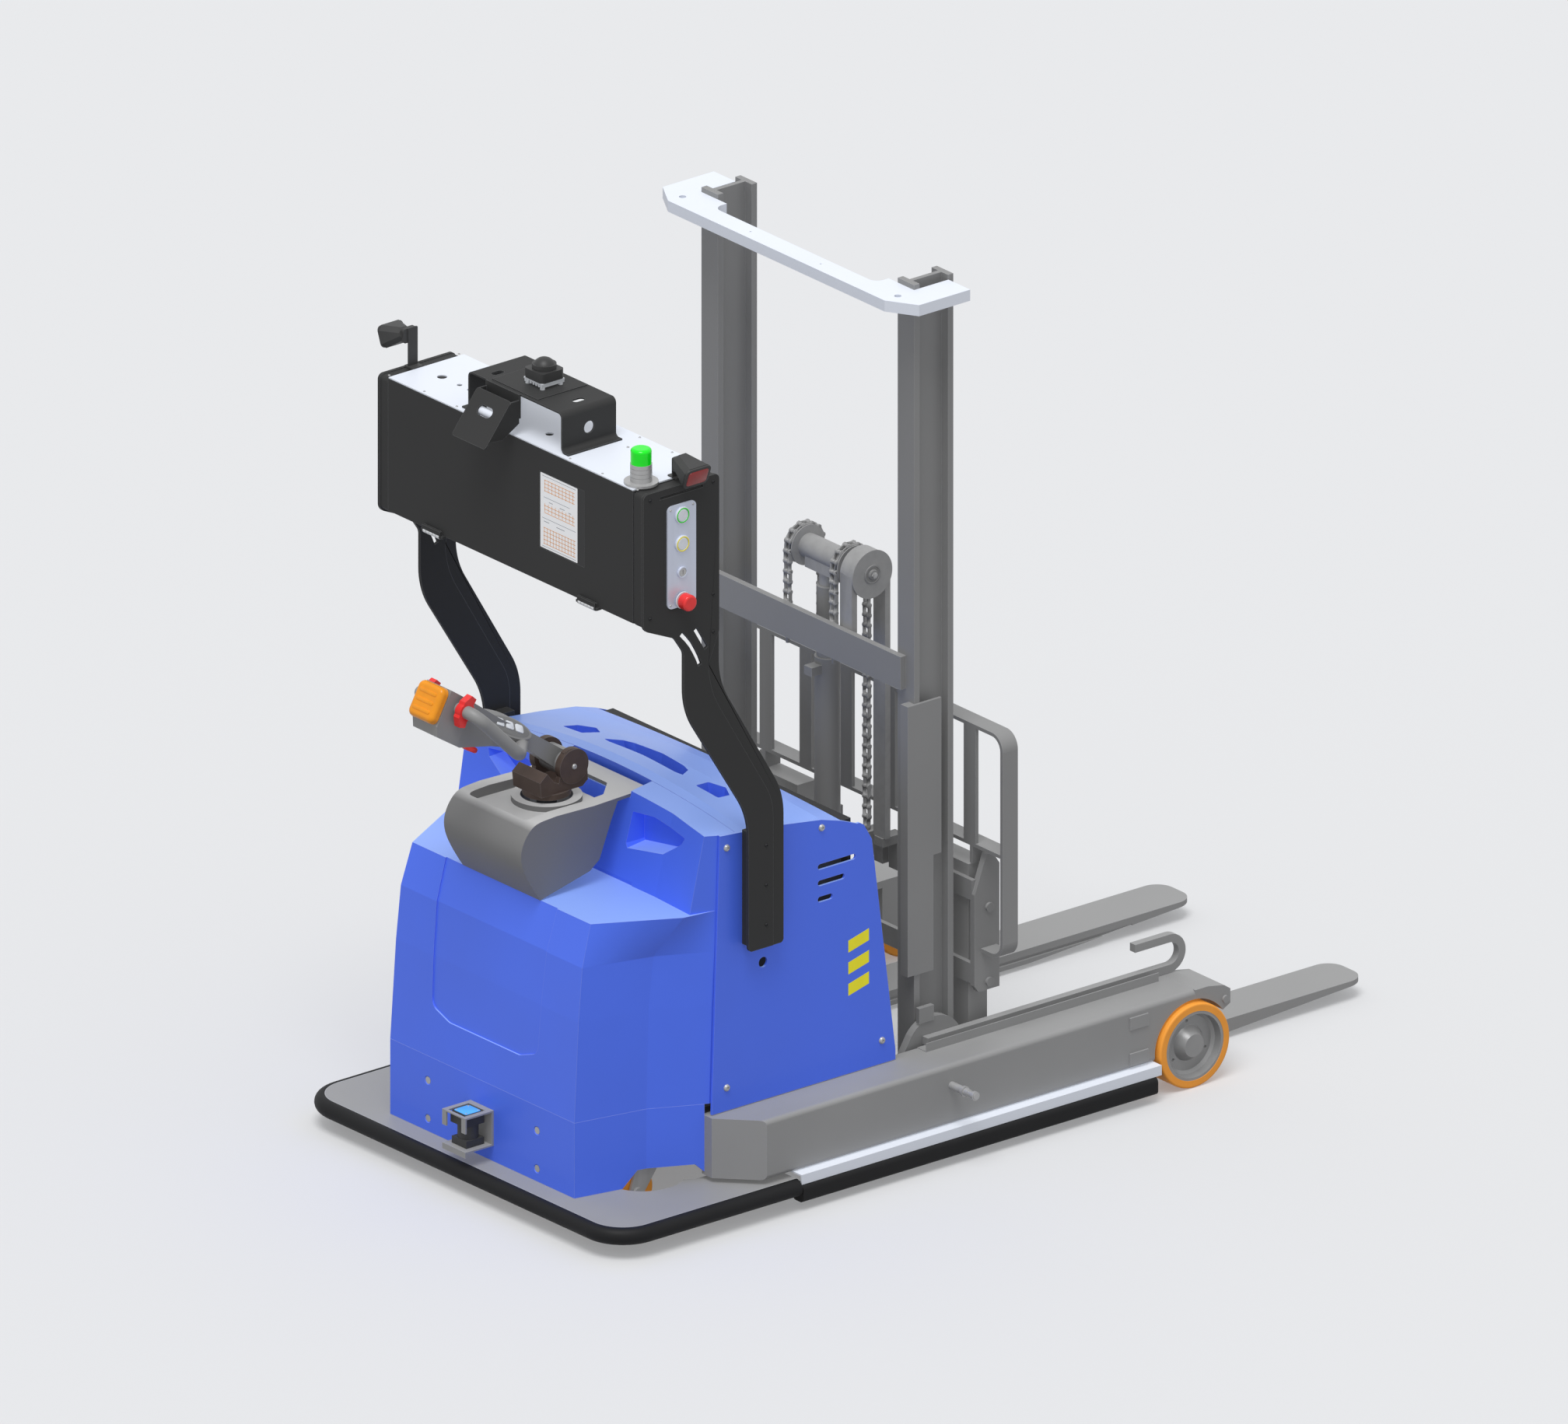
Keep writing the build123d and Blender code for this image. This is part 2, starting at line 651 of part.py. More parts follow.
with BuildPart() as scanner:
    slab((-1754, -1700), (-27, 27), (122 + seat, 140))
    post(-1727, 0, (140, 176), 25)
    slab((-1757, -1700), (-28, 28), (176, 201.5))
    with BuildSketch(level(201.5)):
        with Locations((-1728, 0)):
            RectangleRounded(54, 54, 4)
    extrude(amount=4)
save(scanner, "scanner")

# Drive unit: steered gearbox with the motor on top and the column up to the tiller
with BuildPart() as drive_unit:
    post(steer_x, 0, (drive_radius * 2 + 3, deck_z + 26), 85)
    post(steer_x, 0, (deck_z + seat, deck_z + 18), 112)
    post(steer_x, 0, (deck_z + 26, 520), 72)
    post(steer_x, 0, (520, 546), 50)
    post(steer_x, 0, (546, 948), 24)
    slab((steer_x - 52, steer_x + 52), (drive_width / 2 + 4, 78), (72, drive_radius * 2 + 10))
    disc(steer_x, (drive_width / 2 + 3, 78), drive_radius, 52)
    disc(steer_x, (-drive_width / 2 + 18, drive_width / 2 + 8), drive_radius, 22)
save(drive_unit, "drive_unit")

with BuildPart() as drive_wheel:
    disc(steer_x, (-drive_width / 2, drive_width / 2), drive_radius, drive_radius)
    disc(steer_x, (-drive_width / 2 - 1, -drive_width / 2 + 14), drive_radius, 78, Mode.SUBTRACT)
    with Locations(at(steer_x, -drive_width / 2 + 8, drive_radius)):
        Cone(40, 26, 16, rotation=(90, 0, 0))
    disc(steer_x, (-drive_width / 2 + 17, drive_width / 2 + 1), drive_radius, 22 + fit, Mode.SUBTRACT)
    chamfer(drive_wheel.edges().filter_by(GeomType.CIRCLE).group_by(SortBy.RADIUS)[-1], 3)
save(drive_wheel, "drive_wheel")

# Swivel casters beside the drive wheel
for side, sign in sides.items():
    wheel_x = caster_x - caster_trail
    with BuildPart() as caster_fork:
        post(caster_x, sign * caster_y, (131, 160 - seat), 34)
        post(caster_x, sign * caster_y, (119, 131), 42)
        for cheek in (-1, 1):
            inner = sign * caster_y + cheek * (caster_width / 2 + 2)
            outer = sign * caster_y + cheek * (caster_width / 2 + 8)
            with BuildSketch(upright(inner)):
                with BuildLine():
                    Polyline((caster_x - 34, 131), (caster_x + 34, 131), (caster_x + 30, 112),
                             (wheel_x + 20, caster_radius - 8), (wheel_x - 16, caster_radius - 12),
                             (wheel_x - 20, caster_radius + 8), close=True)
                make_face()
            extrude(amount=-cheek * 6)
            disc(wheel_x, (outer, outer + cheek * 7), caster_radius, 12)
        slab((caster_x - 34, caster_x + 34),
             (sign * caster_y - caster_width / 2 - 8, sign * caster_y + caster_width / 2 + 8), (119, 131))
        disc(wheel_x, (sign * caster_y - caster_width / 2 - 10, sign * caster_y + caster_width / 2 + 10),
             caster_radius, 8)
    save(caster_fork, f"caster_fork_{side}")

    with BuildPart() as caster_wheel:
        disc(wheel_x, (sign * caster_y - caster_width / 2, sign * caster_y + caster_width / 2),
             caster_radius, caster_radius)
        disc(wheel_x, (sign * caster_y - caster_width / 2 - 1, sign * caster_y + caster_width / 2 + 1),
             caster_radius, 8 + fit, Mode.SUBTRACT)
        chamfer(caster_wheel.edges().filter_by(GeomType.CIRCLE).group_by(SortBy.RADIUS)[-1], 3)
    save(caster_wheel, f"caster_wheel_{side}")

# Tiller: yoke on the steering column, arm, head with two loop handles
with BuildPart() as tiller_yoke:
    post(steer_x, 0, (948, 962), 58)
    with BuildSketch(upright(0)):
        with BuildLine():
            Polyline((-1548, 962), (-1552, 1000), (-1530, 1018), (-1508, 990), (-1495, 985))
            Line((-1495, 985), (-1478, 1058))
            ThreePointArc((-1478, 1058), (pivot_x + 8, pivot_z + pivot_radius),
                          (pivot_x + pivot_radius, pivot_z))
            Polyline((pivot_x + pivot_radius, pivot_z), (-1408, 975), (-1424, 962), (-1548, 962))
        make_face()
    extrude(amount=yoke_half - 5, both=True)
    disc(pivot_x, (-yoke_half, yoke_half), pivot_z, pivot_radius)
    slab((-1500, -1400), (-38, 38), (978, 1080), Mode.SUBTRACT)
    disc(pivot_x, (-yoke_half + 6, yoke_half - 6), pivot_z, 11)
save(tiller_yoke, "tiller_yoke")

arm_dir = (-cos(radians(arm_angle)), 0, sin(radians(arm_angle)))
head_dir = (-cos(radians(head_angle)), 0, sin(radians(head_angle)))
head_x = pivot_x - arm_length * cos(radians(arm_angle))
head_z = pivot_z + arm_length * sin(radians(arm_angle))
arm_plane = Plane(origin=(axle_x + pivot_x, 0, pivot_z), x_dir=arm_dir, z_dir=(0, 1, 0))
head_side = Plane(origin=(axle_x + head_x, 0, head_z), x_dir=head_dir, z_dir=(0, 1, 0))
head_flat = Plane(origin=(axle_x + head_x, 0, head_z), x_dir=head_dir,
                  z_dir=(sin(radians(head_angle)), 0, cos(radians(head_angle))))

with BuildPart() as tiller_arm:
    with BuildSketch(arm_plane):
        Circle(32)
    extrude(amount=36, both=True)
    with BuildSketch(arm_plane):
        with BuildLine():
            Polyline((0, -24), (arm_end, -18), (arm_end, 18), (0, 24), close=True)
        make_face()
    extrude(amount=arm_half, both=True)
    disc(pivot_x, (-37, 37), pivot_z, 11 + fit, Mode.SUBTRACT)
save(tiller_arm, "tiller_arm")


def along(s, y, n=0.0):
    """A point of the tiller head: s up its axis, y to the left, n square to the top."""
    return head_flat.from_local_coords(Vector(s, -y, n))


with BuildPart() as tiller_head:
    # housing: side profile cut from a plan that is narrow at the neck and wide at the cap
    with BuildSketch(head_flat.offset(-90)):
        with BuildLine():
            Polyline((-58, -24), (0, -33), (60, -40), (170, -46), (head_length, -45), (head_length, 45),
                     (170, 46), (60, 40), (0, 33), (-58, 24), close=True)
        make_face()
    extrude(amount=140)
    with BuildSketch(head_side):
        with BuildLine():
            Spline((-58, 2), (-20, 11), (40, 16), (150, 30), (head_length, 42))
            Polyline((head_length, 42), (head_length, -50), (head_length - 14, -72), (160, -78),
                     (62, -50), (-58, -30), (-58, 2))
        make_face()
    extrude(amount=60, both=True, mode=Mode.INTERSECT)
    # plug that the safety button slides on
    with BuildSketch(Plane(origin=along(head_length - 1, 0, -3), x_dir=(0, 1, 0), z_dir=head_dir)):
        RectangleRounded(60, 56, 12)
    extrude(amount=12)
    # loop handles: out along the throttle axis, down and back to the neck
    for sign in sides.values():
        with BuildLine():
            FilletPolyline(
                along(throttle_s, sign * 30, throttle_n), along(throttle_s, sign * 110, throttle_n),
                along(44, sign * 122, -42), along(-44, sign * 22, -18), radius=32)
        with BuildSketch(Plane(origin=along(throttle_s, sign * 30, throttle_n), z_dir=(0, sign, 0))):
            Circle(loop_radius)
        sweep()
    # socket for the arm tube
    with BuildSketch(arm_plane):
        with BuildLine():
            Polyline((120, -26), (arm_end + seat, -18 - seat), (arm_end + seat, 18 + seat), (120, 26),
                     close=True)
        make_face()
    extrude(amount=arm_half + seat, both=True, mode=Mode.SUBTRACT)
    # pocket for the control buttons
    for button_s in button_places:
        with BuildSketch(head_flat.offset(60)):
            with Locations((button_s, 0)):
                Rectangle(button_length + 1, button_width + 1)
        extrude(amount=button_floor - seat - 60, mode=Mode.SUBTRACT)
    # hole of the emergency cut-out
    with BuildSketch(head_flat.offset(-45.5)):
        with Locations((84, 0)):
            Circle(8 + seat)
    extrude(amount=-34, mode=Mode.SUBTRACT)
save(tiller_head, "tiller_head")

# Speed control: two red butterflies on the roots of the loop handles, linked in the head
with BuildPart() as throttle:
    for sign in sides.values():
        with BuildSketch(Plane(origin=along(throttle_s, sign * 56, throttle_n), x_dir=head_dir,
                               z_dir=(0, sign, 0))):
            Circle(loop_radius + 6)
            with BuildLine():
                Polyline((-12, 36), (4, 40), (18, 20), (18, -20), (4, -40), (-12, -36), (-8, 0), close=True)
            make_face()
            Circle(loop_radius + fit, mode=Mode.SUBTRACT)
        extrude(amount=20)
save(throttle, "throttle")

# Safety button that caps the head
with BuildPart() as belly_button:
    with BuildSketch(Plane(origin=along(head_length + button_travel + seat, 0, -4), x_dir=(0, 1, 0),
                           z_dir=head_dir)):
        RectangleRounded(90, 90, 16)
    extrude(amount=22)
    outer_face = belly_button.faces().sort_by(Axis(along(0, 0), head_dir))[-1]
    fillet(outer_face.edges(), 12)
    with BuildSketch(Plane(origin=along(head_length, 0, -3), x_dir=(0, 1, 0), z_dir=head_dir)):
        RectangleRounded(60 + 2 * seat, 56 + 2 * seat, 12)
    extrude(amount=12 + button_travel, mode=Mode.SUBTRACT)
save(belly_button, "belly_button")

# Control buttons on top of the head
with BuildPart() as head_buttons:
    for button_s, button_top in zip(button_places, button_tops):
        with BuildSketch(head_flat.offset(button_floor)):
            with Locations((button_s, 0)):
                RectangleRounded(button_length, button_width, 4)
        extrude(amount=button_top - button_floor)
save(head_buttons, "head_buttons")

# Emergency cut-out under the head
with BuildPart() as tiller_stop:
    with BuildSketch(head_flat.offset(-50)):
        with Locations((84, 0)):
            Circle(8)
    extrude(amount=-18)
    with BuildSketch(head_flat.offset(-63 - button_travel)):
        with Locations((84, 0)):
            Circle(19)
    extrude(amount=-13)
    chamfer(tiller_stop.edges().filter_by(GeomType.CIRCLE).group_by(SortBy.RADIUS)[-1], 3)
save(tiller_stop, "tiller_stop")

# Support arms: dished sheet, its rim turned inwards all round
arm_outline = [
    (cabinet_rear, 1876), (cabinet_front, 1876), (cabinet_front, 1350), (-1175, 1020), (-1175, 643),
    (-1281, 643), (-1281, 985), (-1477, 1300), (-1477, 1450), (-1505, 1492), (-1599, 1534),
]
arm_radii = [14, 14, 60, 70, 10, 10, 50, 60, 30, 30, 24]
with BuildPart() as support_arms:
    for side, sign in sides.items():
        with BuildSketch(upright(sign * arm_inner)) as arm_sketch:
            Polygon(*arm_outline, align=None)
            for (corner_x, corner_z), radius in zip(arm_outline, arm_radii):
                place = (axle_x + corner_x, sign * arm_inner, corner_z)
                fillet(arm_sketch.vertices().sort_by_distance(place)[0], radius)
        extrude(amount=-sign * (arm_outer - arm_inner))
        with BuildSketch(upright(sign * arm_inner)):
            add(arm_sketch.sketch_local)
            offset(amount=-arm_web, mode=Mode.REPLACE)
        extrude(amount=-sign * (arm_outer - arm_inner - arm_web), mode=Mode.SUBTRACT)
        # adjusting slots and cable slot of the cabinet end
        with BuildSketch(upright(sign * (arm_outer + 1))):
            with BuildLine():
                ThreePointArc((-1485, 1498), (-1448, 1454), (-1428, 1406))
                Line((-1442, 1500), (-1409, 1444))
            trace(line_width=11)
            with Locations((-1484, 1856)):
                SlotOverall(130, 7)
        extrude(amount=sign * (arm_web + 2), mode=Mode.SUBTRACT)
    # holes of the control panel
    for _, _, z, radius in panel_controls:
        disc(panel_x, (-arm_outer - 1, -arm_outer + arm_web + 1), z, radius + control_gap, Mode.SUBTRACT)
save(support_arms, "support_arms")

# Control panel on the right arm with its four controls
with BuildPart() as control_panel:
    with BuildSketch(upright(-arm_outer)):
        with Locations((panel_x, 1700)):
            RectangleRounded(86, 259, 14)
        for _, _, z, radius in panel_controls:
            with Locations((panel_x, z)):
                Circle(radius + control_gap, mode=Mode.SUBTRACT)
    extrude(amount=4)
    for _, bezel, z, radius in panel_controls:
        with BuildSketch(upright(-arm_outer - 4)):
            with Locations((panel_x, z)):
                Circle(bezel)
                Circle(radius + control_gap, mode=Mode.SUBTRACT)
        extrude(amount=3)
save(control_panel, "control_panel")

for name, bezel, z, radius in panel_controls:
    with BuildPart() as control:
        if name == "emergency_stop":
            disc(panel_x, (-arm_outer - 20, -arm_outer + arm_web + 12), z, radius)
            disc(panel_x, (-arm_outer - 38, -arm_outer - 14), z, 20)
            fillet(control.faces().sort_by(Axis.Y)[0].edges(), 6)
        elif name == "key_switch":
            disc(panel_x, (-arm_outer - 8, -arm_outer + arm_web + 14), z, radius)
            slab((panel_x - 2, panel_x + 2), (-arm_outer - 8.5, -arm_outer - 6), (z - 6, z + 6),
                 Mode.SUBTRACT)
        else:
            disc(panel_x, (-arm_outer - 9, -arm_outer + arm_web + 12), z, radius)
            fillet(control.faces().sort_by(Axis.Y)[0].edges(), 2)
    save(control, name)

# Cabinet between the arms: folded box, open at the back where the door closes it
cabinet_half = arm_inner - seat
door_x = cabinet_rear + sheet + 0.7
hinge_x = door_x - sheet - 2.5
with BuildPart() as cabinet:
    slab((cabinet_rear + sheet + 1, cabinet_front), (-cabinet_half, cabinet_half),
         (cabinet_bottom, cabinet_top_z))
    slab((cabinet_rear, cabinet_front - sheet), (-cabinet_half + sheet, cabinet_half - sheet),
         (cabinet_bottom + sheet, cabinet_top_z - sheet), Mode.SUBTRACT)
    # hinge pins of the door and the lugs that hold them
    for hinge_y in hinge_ys:
        disc(hinge_x, (hinge_y - 38, hinge_y + 38), hinge_z, 2.5)
        for lug in (-1, 1):
            slab((hinge_x - 3, cabinet_rear + 10), (hinge_y + lug * 33.5, hinge_y + lug * 39),
                 (hinge_z - 3, hinge_z + 3))
save(cabinet, "cabinet")

with BuildPart() as cabinet_lid:
    with BuildSketch(level(cabinet_top_z)):
        with Locations(((cabinet_rear + cabinet_front) / 2, 0)):
            Rectangle(cabinet_front - cabinet_rear - 2, 2 * cabinet_half - 4)
        with Locations((-1500, 375)):
            Circle(12, mode=Mode.SUBTRACT)
        for number in range(5):
            with Locations((-1500, 310 - number * 38)):
                Circle(6.5, mode=Mode.SUBTRACT)
        with Locations((-1530, -60), (-1470, -60)):
            Circle(10, mode=Mode.SUBTRACT)
    extrude(amount=sheet)
save(cabinet_lid, "cabinet_lid")

with BuildPart() as cabinet_door:
    slab((door_x - sheet, door_x), (-cabinet_half + 1, cabinet_half - 1),
         (cabinet_bottom + 1, cabinet_top_z - 1))
    slab((door_x - sheet - 1, door_x + 1), (screen_y - screen_width / 2 - 23, screen_y + screen_width / 2),
         (screen_z - screen_height / 2, screen_z + screen_height / 2), Mode.SUBTRACT)
    for hinge_y in hinge_ys:
        slab((hinge_x - 5, hinge_x + 2), (hinge_y - 33, hinge_y + 33), (hinge_z, hinge_z + 14))
        disc(hinge_x, (hinge_y - 33, hinge_y + 33), hinge_z, 5.5)
        disc(hinge_x, (hinge_y - 34, hinge_y + 34), hinge_z, 2.5 + fit, Mode.SUBTRACT)
save(cabinet_door, "cabinet_door")

with BuildPart() as screen:
    slab((door_x - sheet + 0.6, door_x + 14),
         (screen_y - screen_width / 2 - 23 + seat, screen_y + screen_width / 2 - seat),
         (screen_z - screen_height / 2 + seat, screen_z + screen_height / 2 - seat))
save(screen, "screen")

# Bridge over the cabinet lid that carries the laser scanner and the camera
with BuildPart() as sensor_bridge:
    with BuildSketch(across(bridge_rear)):
        with BuildLine():
            FilletPolyline(
                (-bridge_half - 25, bridge_foot), (-bridge_half, bridge_foot), (-bridge_half, bridge_top),
                (bridge_half, bridge_top), (bridge_half, bridge_foot), (bridge_half + 25, bridge_foot),
                radius=12)
        trace(line_width=4)
    extrude(amount=bridge_front - bridge_rear)
    bridge_x = (bridge_rear + bridge_front) / 2
    disc(bridge_x, (-bridge_half - 10, bridge_half + 10), bridge_top - 52, 15, Mode.SUBTRACT)
    with BuildSketch(level(bridge_top - 5)):
        with Locations((-1540, 120), (-1500, -130)):
            SlotOverall(34, 18)
    extrude(amount=12, mode=Mode.SUBTRACT)
    # plate under the laser scanner
    slab((-1578, -1428), (-75, 95), (bridge_top + 1, bridge_top + 5))
    # tilted camera bracket, looking down over the back of the cabinet
    slab((bridge_rear - 4, bridge_rear + 1), (camera_y - 62, camera_y + 62),
         (bridge_top - 58, bridge_top + 2))
    for cheek in (-1, 1):
        inner = camera_y + cheek * 58
        with BuildSketch(upright(inner)):
            with BuildLine():
                Polyline((bridge_rear - 4, bridge_top - 12), (bridge_rear - 4, bridge_top - 70),
                         (-1640, bridge_top - 100), (-1677.5, bridge_top - 96), (-1613, bridge_top - 12),
                         close=True)
            make_face()
        extrude(amount=-cheek * 4)
    with BuildSketch(camera_plane):
        RectangleRounded(124, 128, 8)
        with Locations((0, 18)):
            SlotOverall(52, 26, rotation=0, mode=Mode.SUBTRACT)
    extrude(amount=4)
save(sensor_bridge, "sensor_bridge")

with BuildPart() as lidar:
    base_z = bridge_top + 5 + seat
    for foot_x in (-27, 27):
        for foot_y in (-27, 27):
            post(lidar_x + foot_x, lidar_y + foot_y, (base_z, base_z + 12), 6)
    slab((lidar_x - 34, lidar_x + 34), (lidar_y - 34, lidar_y + 34), (base_z + 12, base_z + 16))
    for fin in range(7):
        fin_y = lidar_y - 31 + fin * 10
        slab((lidar_x - 34, lidar_x + 34), (fin_y - 2, fin_y + 2), (base_z + 6, base_z + 13))
    with BuildSketch(level(base_z + 16)):
        with Locations((lidar_x, lidar_y)):
            RectangleRounded(70, 70, 12)
    extrude(amount=24)
    post(lidar_x, lidar_y, (base_z + 40, base_z + 52), 29)
    with Locations(at(lidar_x, lidar_y, base_z + 52)):
        Sphere(29, arc_size1=0)
save(lidar, "lidar")

with BuildPart() as camera:
    camera_drop = camera_plane.z_dir * (camera_radius + seat)
    with BuildSketch(Plane(origin=camera_plane.origin + camera_plane.y_dir * 18 - camera_drop,
                           x_dir=camera_plane.y_dir, z_dir=camera_plane.x_dir)):
        Circle(camera_radius)
    extrude(amount=32, both=True)
save(camera, "camera")

# Stack light: flange and body, green lens on top
with BuildPart() as stack_light:
    post(light_x, light_y, (lid_top, lid_top + 6), 41)
    post(light_x, light_y, (lid_top + 6, lid_top + 50), 26)
    for groove in range(3):
        with BuildSketch(level(lid_top + 17 + groove * 11)):
            with Locations((light_x, light_y)):
                Circle(27)
                Circle(24.5, mode=Mode.SUBTRACT)
        extrude(amount=2, mode=Mode.SUBTRACT)
save(stack_light, "stack_light")

with BuildPart() as light_lens:
    post(light_x, light_y, (lid_top + 50, lid_top + 88), 25)
    fillet(light_lens.faces().sort_by(Axis.Z)[-1].edges(), 8)
save(light_lens, "light_lens")

# Warning lamps at the two ends of the cabinet, on folded brackets
with BuildPart() as warning_lamps:
    # left lamp on a post
    slab((-1524, -1496), (arm_outer - 34, arm_outer - 14), (lid_top - sheet, lid_top + 2))
    slab((-1524, -1496), (arm_outer - 17, arm_outer - 14), (lid_top, 1990))
    with BuildSketch(Plane(origin=(axle_x - 1545, arm_outer - 10, 1975), x_dir=(1, 0, 0), z_dir=(0, 1, 0))):
        with BuildLine():
            Polyline((-42, -24), (38, -24), (48, -4), (30, 30), (-28, 34), (-44, 8), close=True)
        make_face()
    extrude(amount=-46, taper=14)
    # right lamp, low behind the arm
    with BuildSketch(Plane(origin=(axle_x - 1465, -arm_outer + 63, lid_top + 34), x_dir=(1, 0, 0),
                           z_dir=(0, -1, 0))):
        with BuildLine():
            Polyline((-34, -30), (36, -30), (44, 0), (30, 34), (-26, 34), (-40, 4), close=True)
        make_face()
    extrude(amount=44, taper=-8)
    slab((-1479, -1451), (-arm_outer + 43, -arm_outer + 57), (lid_top, lid_top + 20))
save(warning_lamps, "warning_lamps")

# Mast: two rolled H sections joined by a low beam and a high beam, with reach plates
with BuildPart() as mast_frame:
    for sign in sides.values():
        with BuildSketch(level(mast_bottom)):
            with Locations((mast_x, sign * (mast_inner + mast_width / 2))):
                Rectangle(mast_depth, mast_width)
                for row in (-1, 1):
                    with Locations((0, row * (mast_width + web) / 4)):
                        Rectangle(mast_depth - 2 * flange, (mast_width - web) / 2, mode=Mode.SUBTRACT)
        extrude(amount=mast_top - mast_bottom)
        # reach plate on the outside, with a bearer to the rail
        with BuildSketch(upright(sign * hump_inner)):
            with BuildLine():
                Polyline((hump_rear, 100), (hump_rear, 215), (hump_rear + 32, 268))
                ThreePointArc((hump_rear + 32, 268), (mast_x - 12, hump_top), (hump_front - 18, 262))
                Polyline((hump_front - 18, 262), (hump_front, 215), (hump_front, 100), (hump_rear, 100))
            make_face()
        extrude(amount=-sign * (hump_outer - hump_inner))
        slab((mast_x - 50, mast_x + 50), (sign * (mast_outer - 1), sign * (hump_inner + 1)), (105, 255))
        for x in (roller_rear, roller_front):
            disc(x, (sign * (hump_outer - 1), sign * (leg_inner + 31)), roller_z, 16)
            disc(x, (sign * (leg_inner + 30), sign * (leg_inner + 76)), roller_z, roller_radius)
        # sensor block on the reach plate
        slab((-712, -668), (sign * (hump_outer - 8), sign * (hump_outer + 4)), (296, 334))
    slab((mast_x - 40, mast_x + 40), (-mast_inner - 1, mast_inner + 1), (mast_bottom + 4, 118))
    slab((rail_rear - 16, rail_rear), (-mast_inner - 30, mast_inner + 30), (1121, 1204))
    post(mast_x, 0, (118, 124), 46)
    # anchor ears of the chains and the hose clamp on the high beam
    for y in (-sheave_y, sheave_y):
        slab((rail_rear - 2, rail_rear + 18), (y - 14, y + 14), (anchor_z - 16, anchor_z))
        post(rail_rear + 9, y, (anchor_z - 70, anchor_z - 15), 5)
        with BuildSketch(level(anchor_z - 28)):
            with Locations((rail_rear + 9, y)):
                RegularPolygon(9, 6)
        extrude(amount=12.5)
    slab((rail_rear - 2, rail_rear + 18), (hose_y - 24, hose_y + 24), (anchor_z - 16, anchor_z))
    # cable duct on the outer side of the right rail
    duct_outer = -mast_outer - 6
    slab((rail_rear - 24, rail_rear + 1), (duct_outer, -mast_outer + 20), (410, 1091))
    slab((rail_rear - 24, -626), (duct_outer, -mast_outer + 1), (700, 1091))
    slab((rail_rear - 24, -650), (duct_outer, -mast_outer + 1), (410, 701))
save(mast_frame, "mast_frame")

# White crossbar that ties the rails at the top
with BuildPart() as top_crossbar:
    with BuildSketch(level(bar_top - bar_thick)) :
        with BuildLine():
            Polyline((-798, -401), (-754, -475), (-600, -475), (-600, -mast_outer - seat),
                     (rail_rear - seat, -mast_outer - seat), (rail_rear - seat, -300), (-743, -300),
                     (-743, 300), (rail_rear - seat, 300), (rail_rear - seat, mast_outer + seat),
                     (-600, mast_outer + seat), (-600, 475), (-754, 475), (-798, 401), close=True)
        make_face()
        with Locations((-756, -398.6), (-756, 398.6)):
            Circle(crossbar_hole, mode=Mode.SUBTRACT)
        with Locations((-770, -130), (-770, 130)):
            Circle(2.5, mode=Mode.SUBTRACT)
    extrude(amount=bar_thick)
    fillet(top_crossbar.edges().filter_by(Axis.Z).filter_by_position(Axis.X, axle_x - 744, axle_x - 742), 25)
save(top_crossbar, "top_crossbar")

# Lift cylinder: tube with a guide sleeve, hollow for the ram
with BuildPart() as lift_cylinder:
    post(mast_x, 0, (124, cylinder_top), cylinder_radius)
    post(mast_x, 0, (cylinder_top, sleeve_top), sleeve_radius)
    post(mast_x, 0, (260, cylinder_top - 20), rod_radius + 5, Mode.SUBTRACT)
    post(mast_x, 0, (cylinder_top - 21, sleeve_top + 1), rod_radius + fit, Mode.SUBTRACT)
    # strap to the high beam
    slab((rail_rear + seat, mast_x - cylinder_radius + 4), (-14, 14), (1040, 1062))
save(lift_cylinder, "lift_cylinder")

with BuildPart() as lift_ram:
    post(mast_x, 0, (300, sheave_z - 24), rod_radius)
    slab((mast_x - 26, mast_x + 26), (-52, 52), (sheave_z - 42, sheave_z - 12))
    disc(mast_x, (-sheave_y + 14, sheave_y - 14), sheave_z, 30)
    # two chain sheaves and the hose pulley
    for y in (-sheave_y, sheave_y):
        disc(mast_x, (y - 14, y + 14), sheave_z, sheave_core)
        for rim_y in (-14, 11):
            disc(mast_x, (y + rim_y, y + rim_y + 3), sheave_z, sheave_radius)
    disc(mast_x, (hose_y - hose_width / 2 - 5, hose_y + hose_width / 2 + 5), sheave_z, hose_pulley)
    disc(mast_x, (hose_y - hose_width / 2 - 5, hose_y - hose_width / 2 - 2), sheave_z, sheave_radius + 10)
    disc(mast_x, (hose_y, sheave_y), sheave_z, 15)
save(lift_ram, "lift_ram")


def chain_pin(travel):
    """Place (x, z) of a chain pin this far from the anchor, over the sheave, to the carriage."""
    if travel < chain_rise:
        return mast_x - sheave_radius, anchor_z + travel
    if travel < chain_rise + half_turn:
        turn = (travel - chain_rise) / sheave_radius
        return mast_x - sheave_radius * cos(turn), sheave_z + sheave_radius * sin(turn)
    return mast_x + sheave_radius, sheave_z - (travel - chain_rise - half_turn)


chain_pins = [chain_pin(chain_start + number * chain_pitch) for number in range(chain_links + 1)]


def link_plates(first):
    """Waisted plates of every other link, from link number first."""
    for (x1, z1), (x2, z2) in list(zip(chain_pins, chain_pins[1:]))[first::2]:
        slope = degrees(atan2(z2 - z1, x2 - x1))
        with Locations(Location(((x1 + x2) / 2, (z1 + z2) / 2), slope)):
            Rectangle(hypot(x2 - x1, z2 - z1), chain_waist)
        with Locations((x1, z1), (x2, z2)):
            Circle(chain_half)


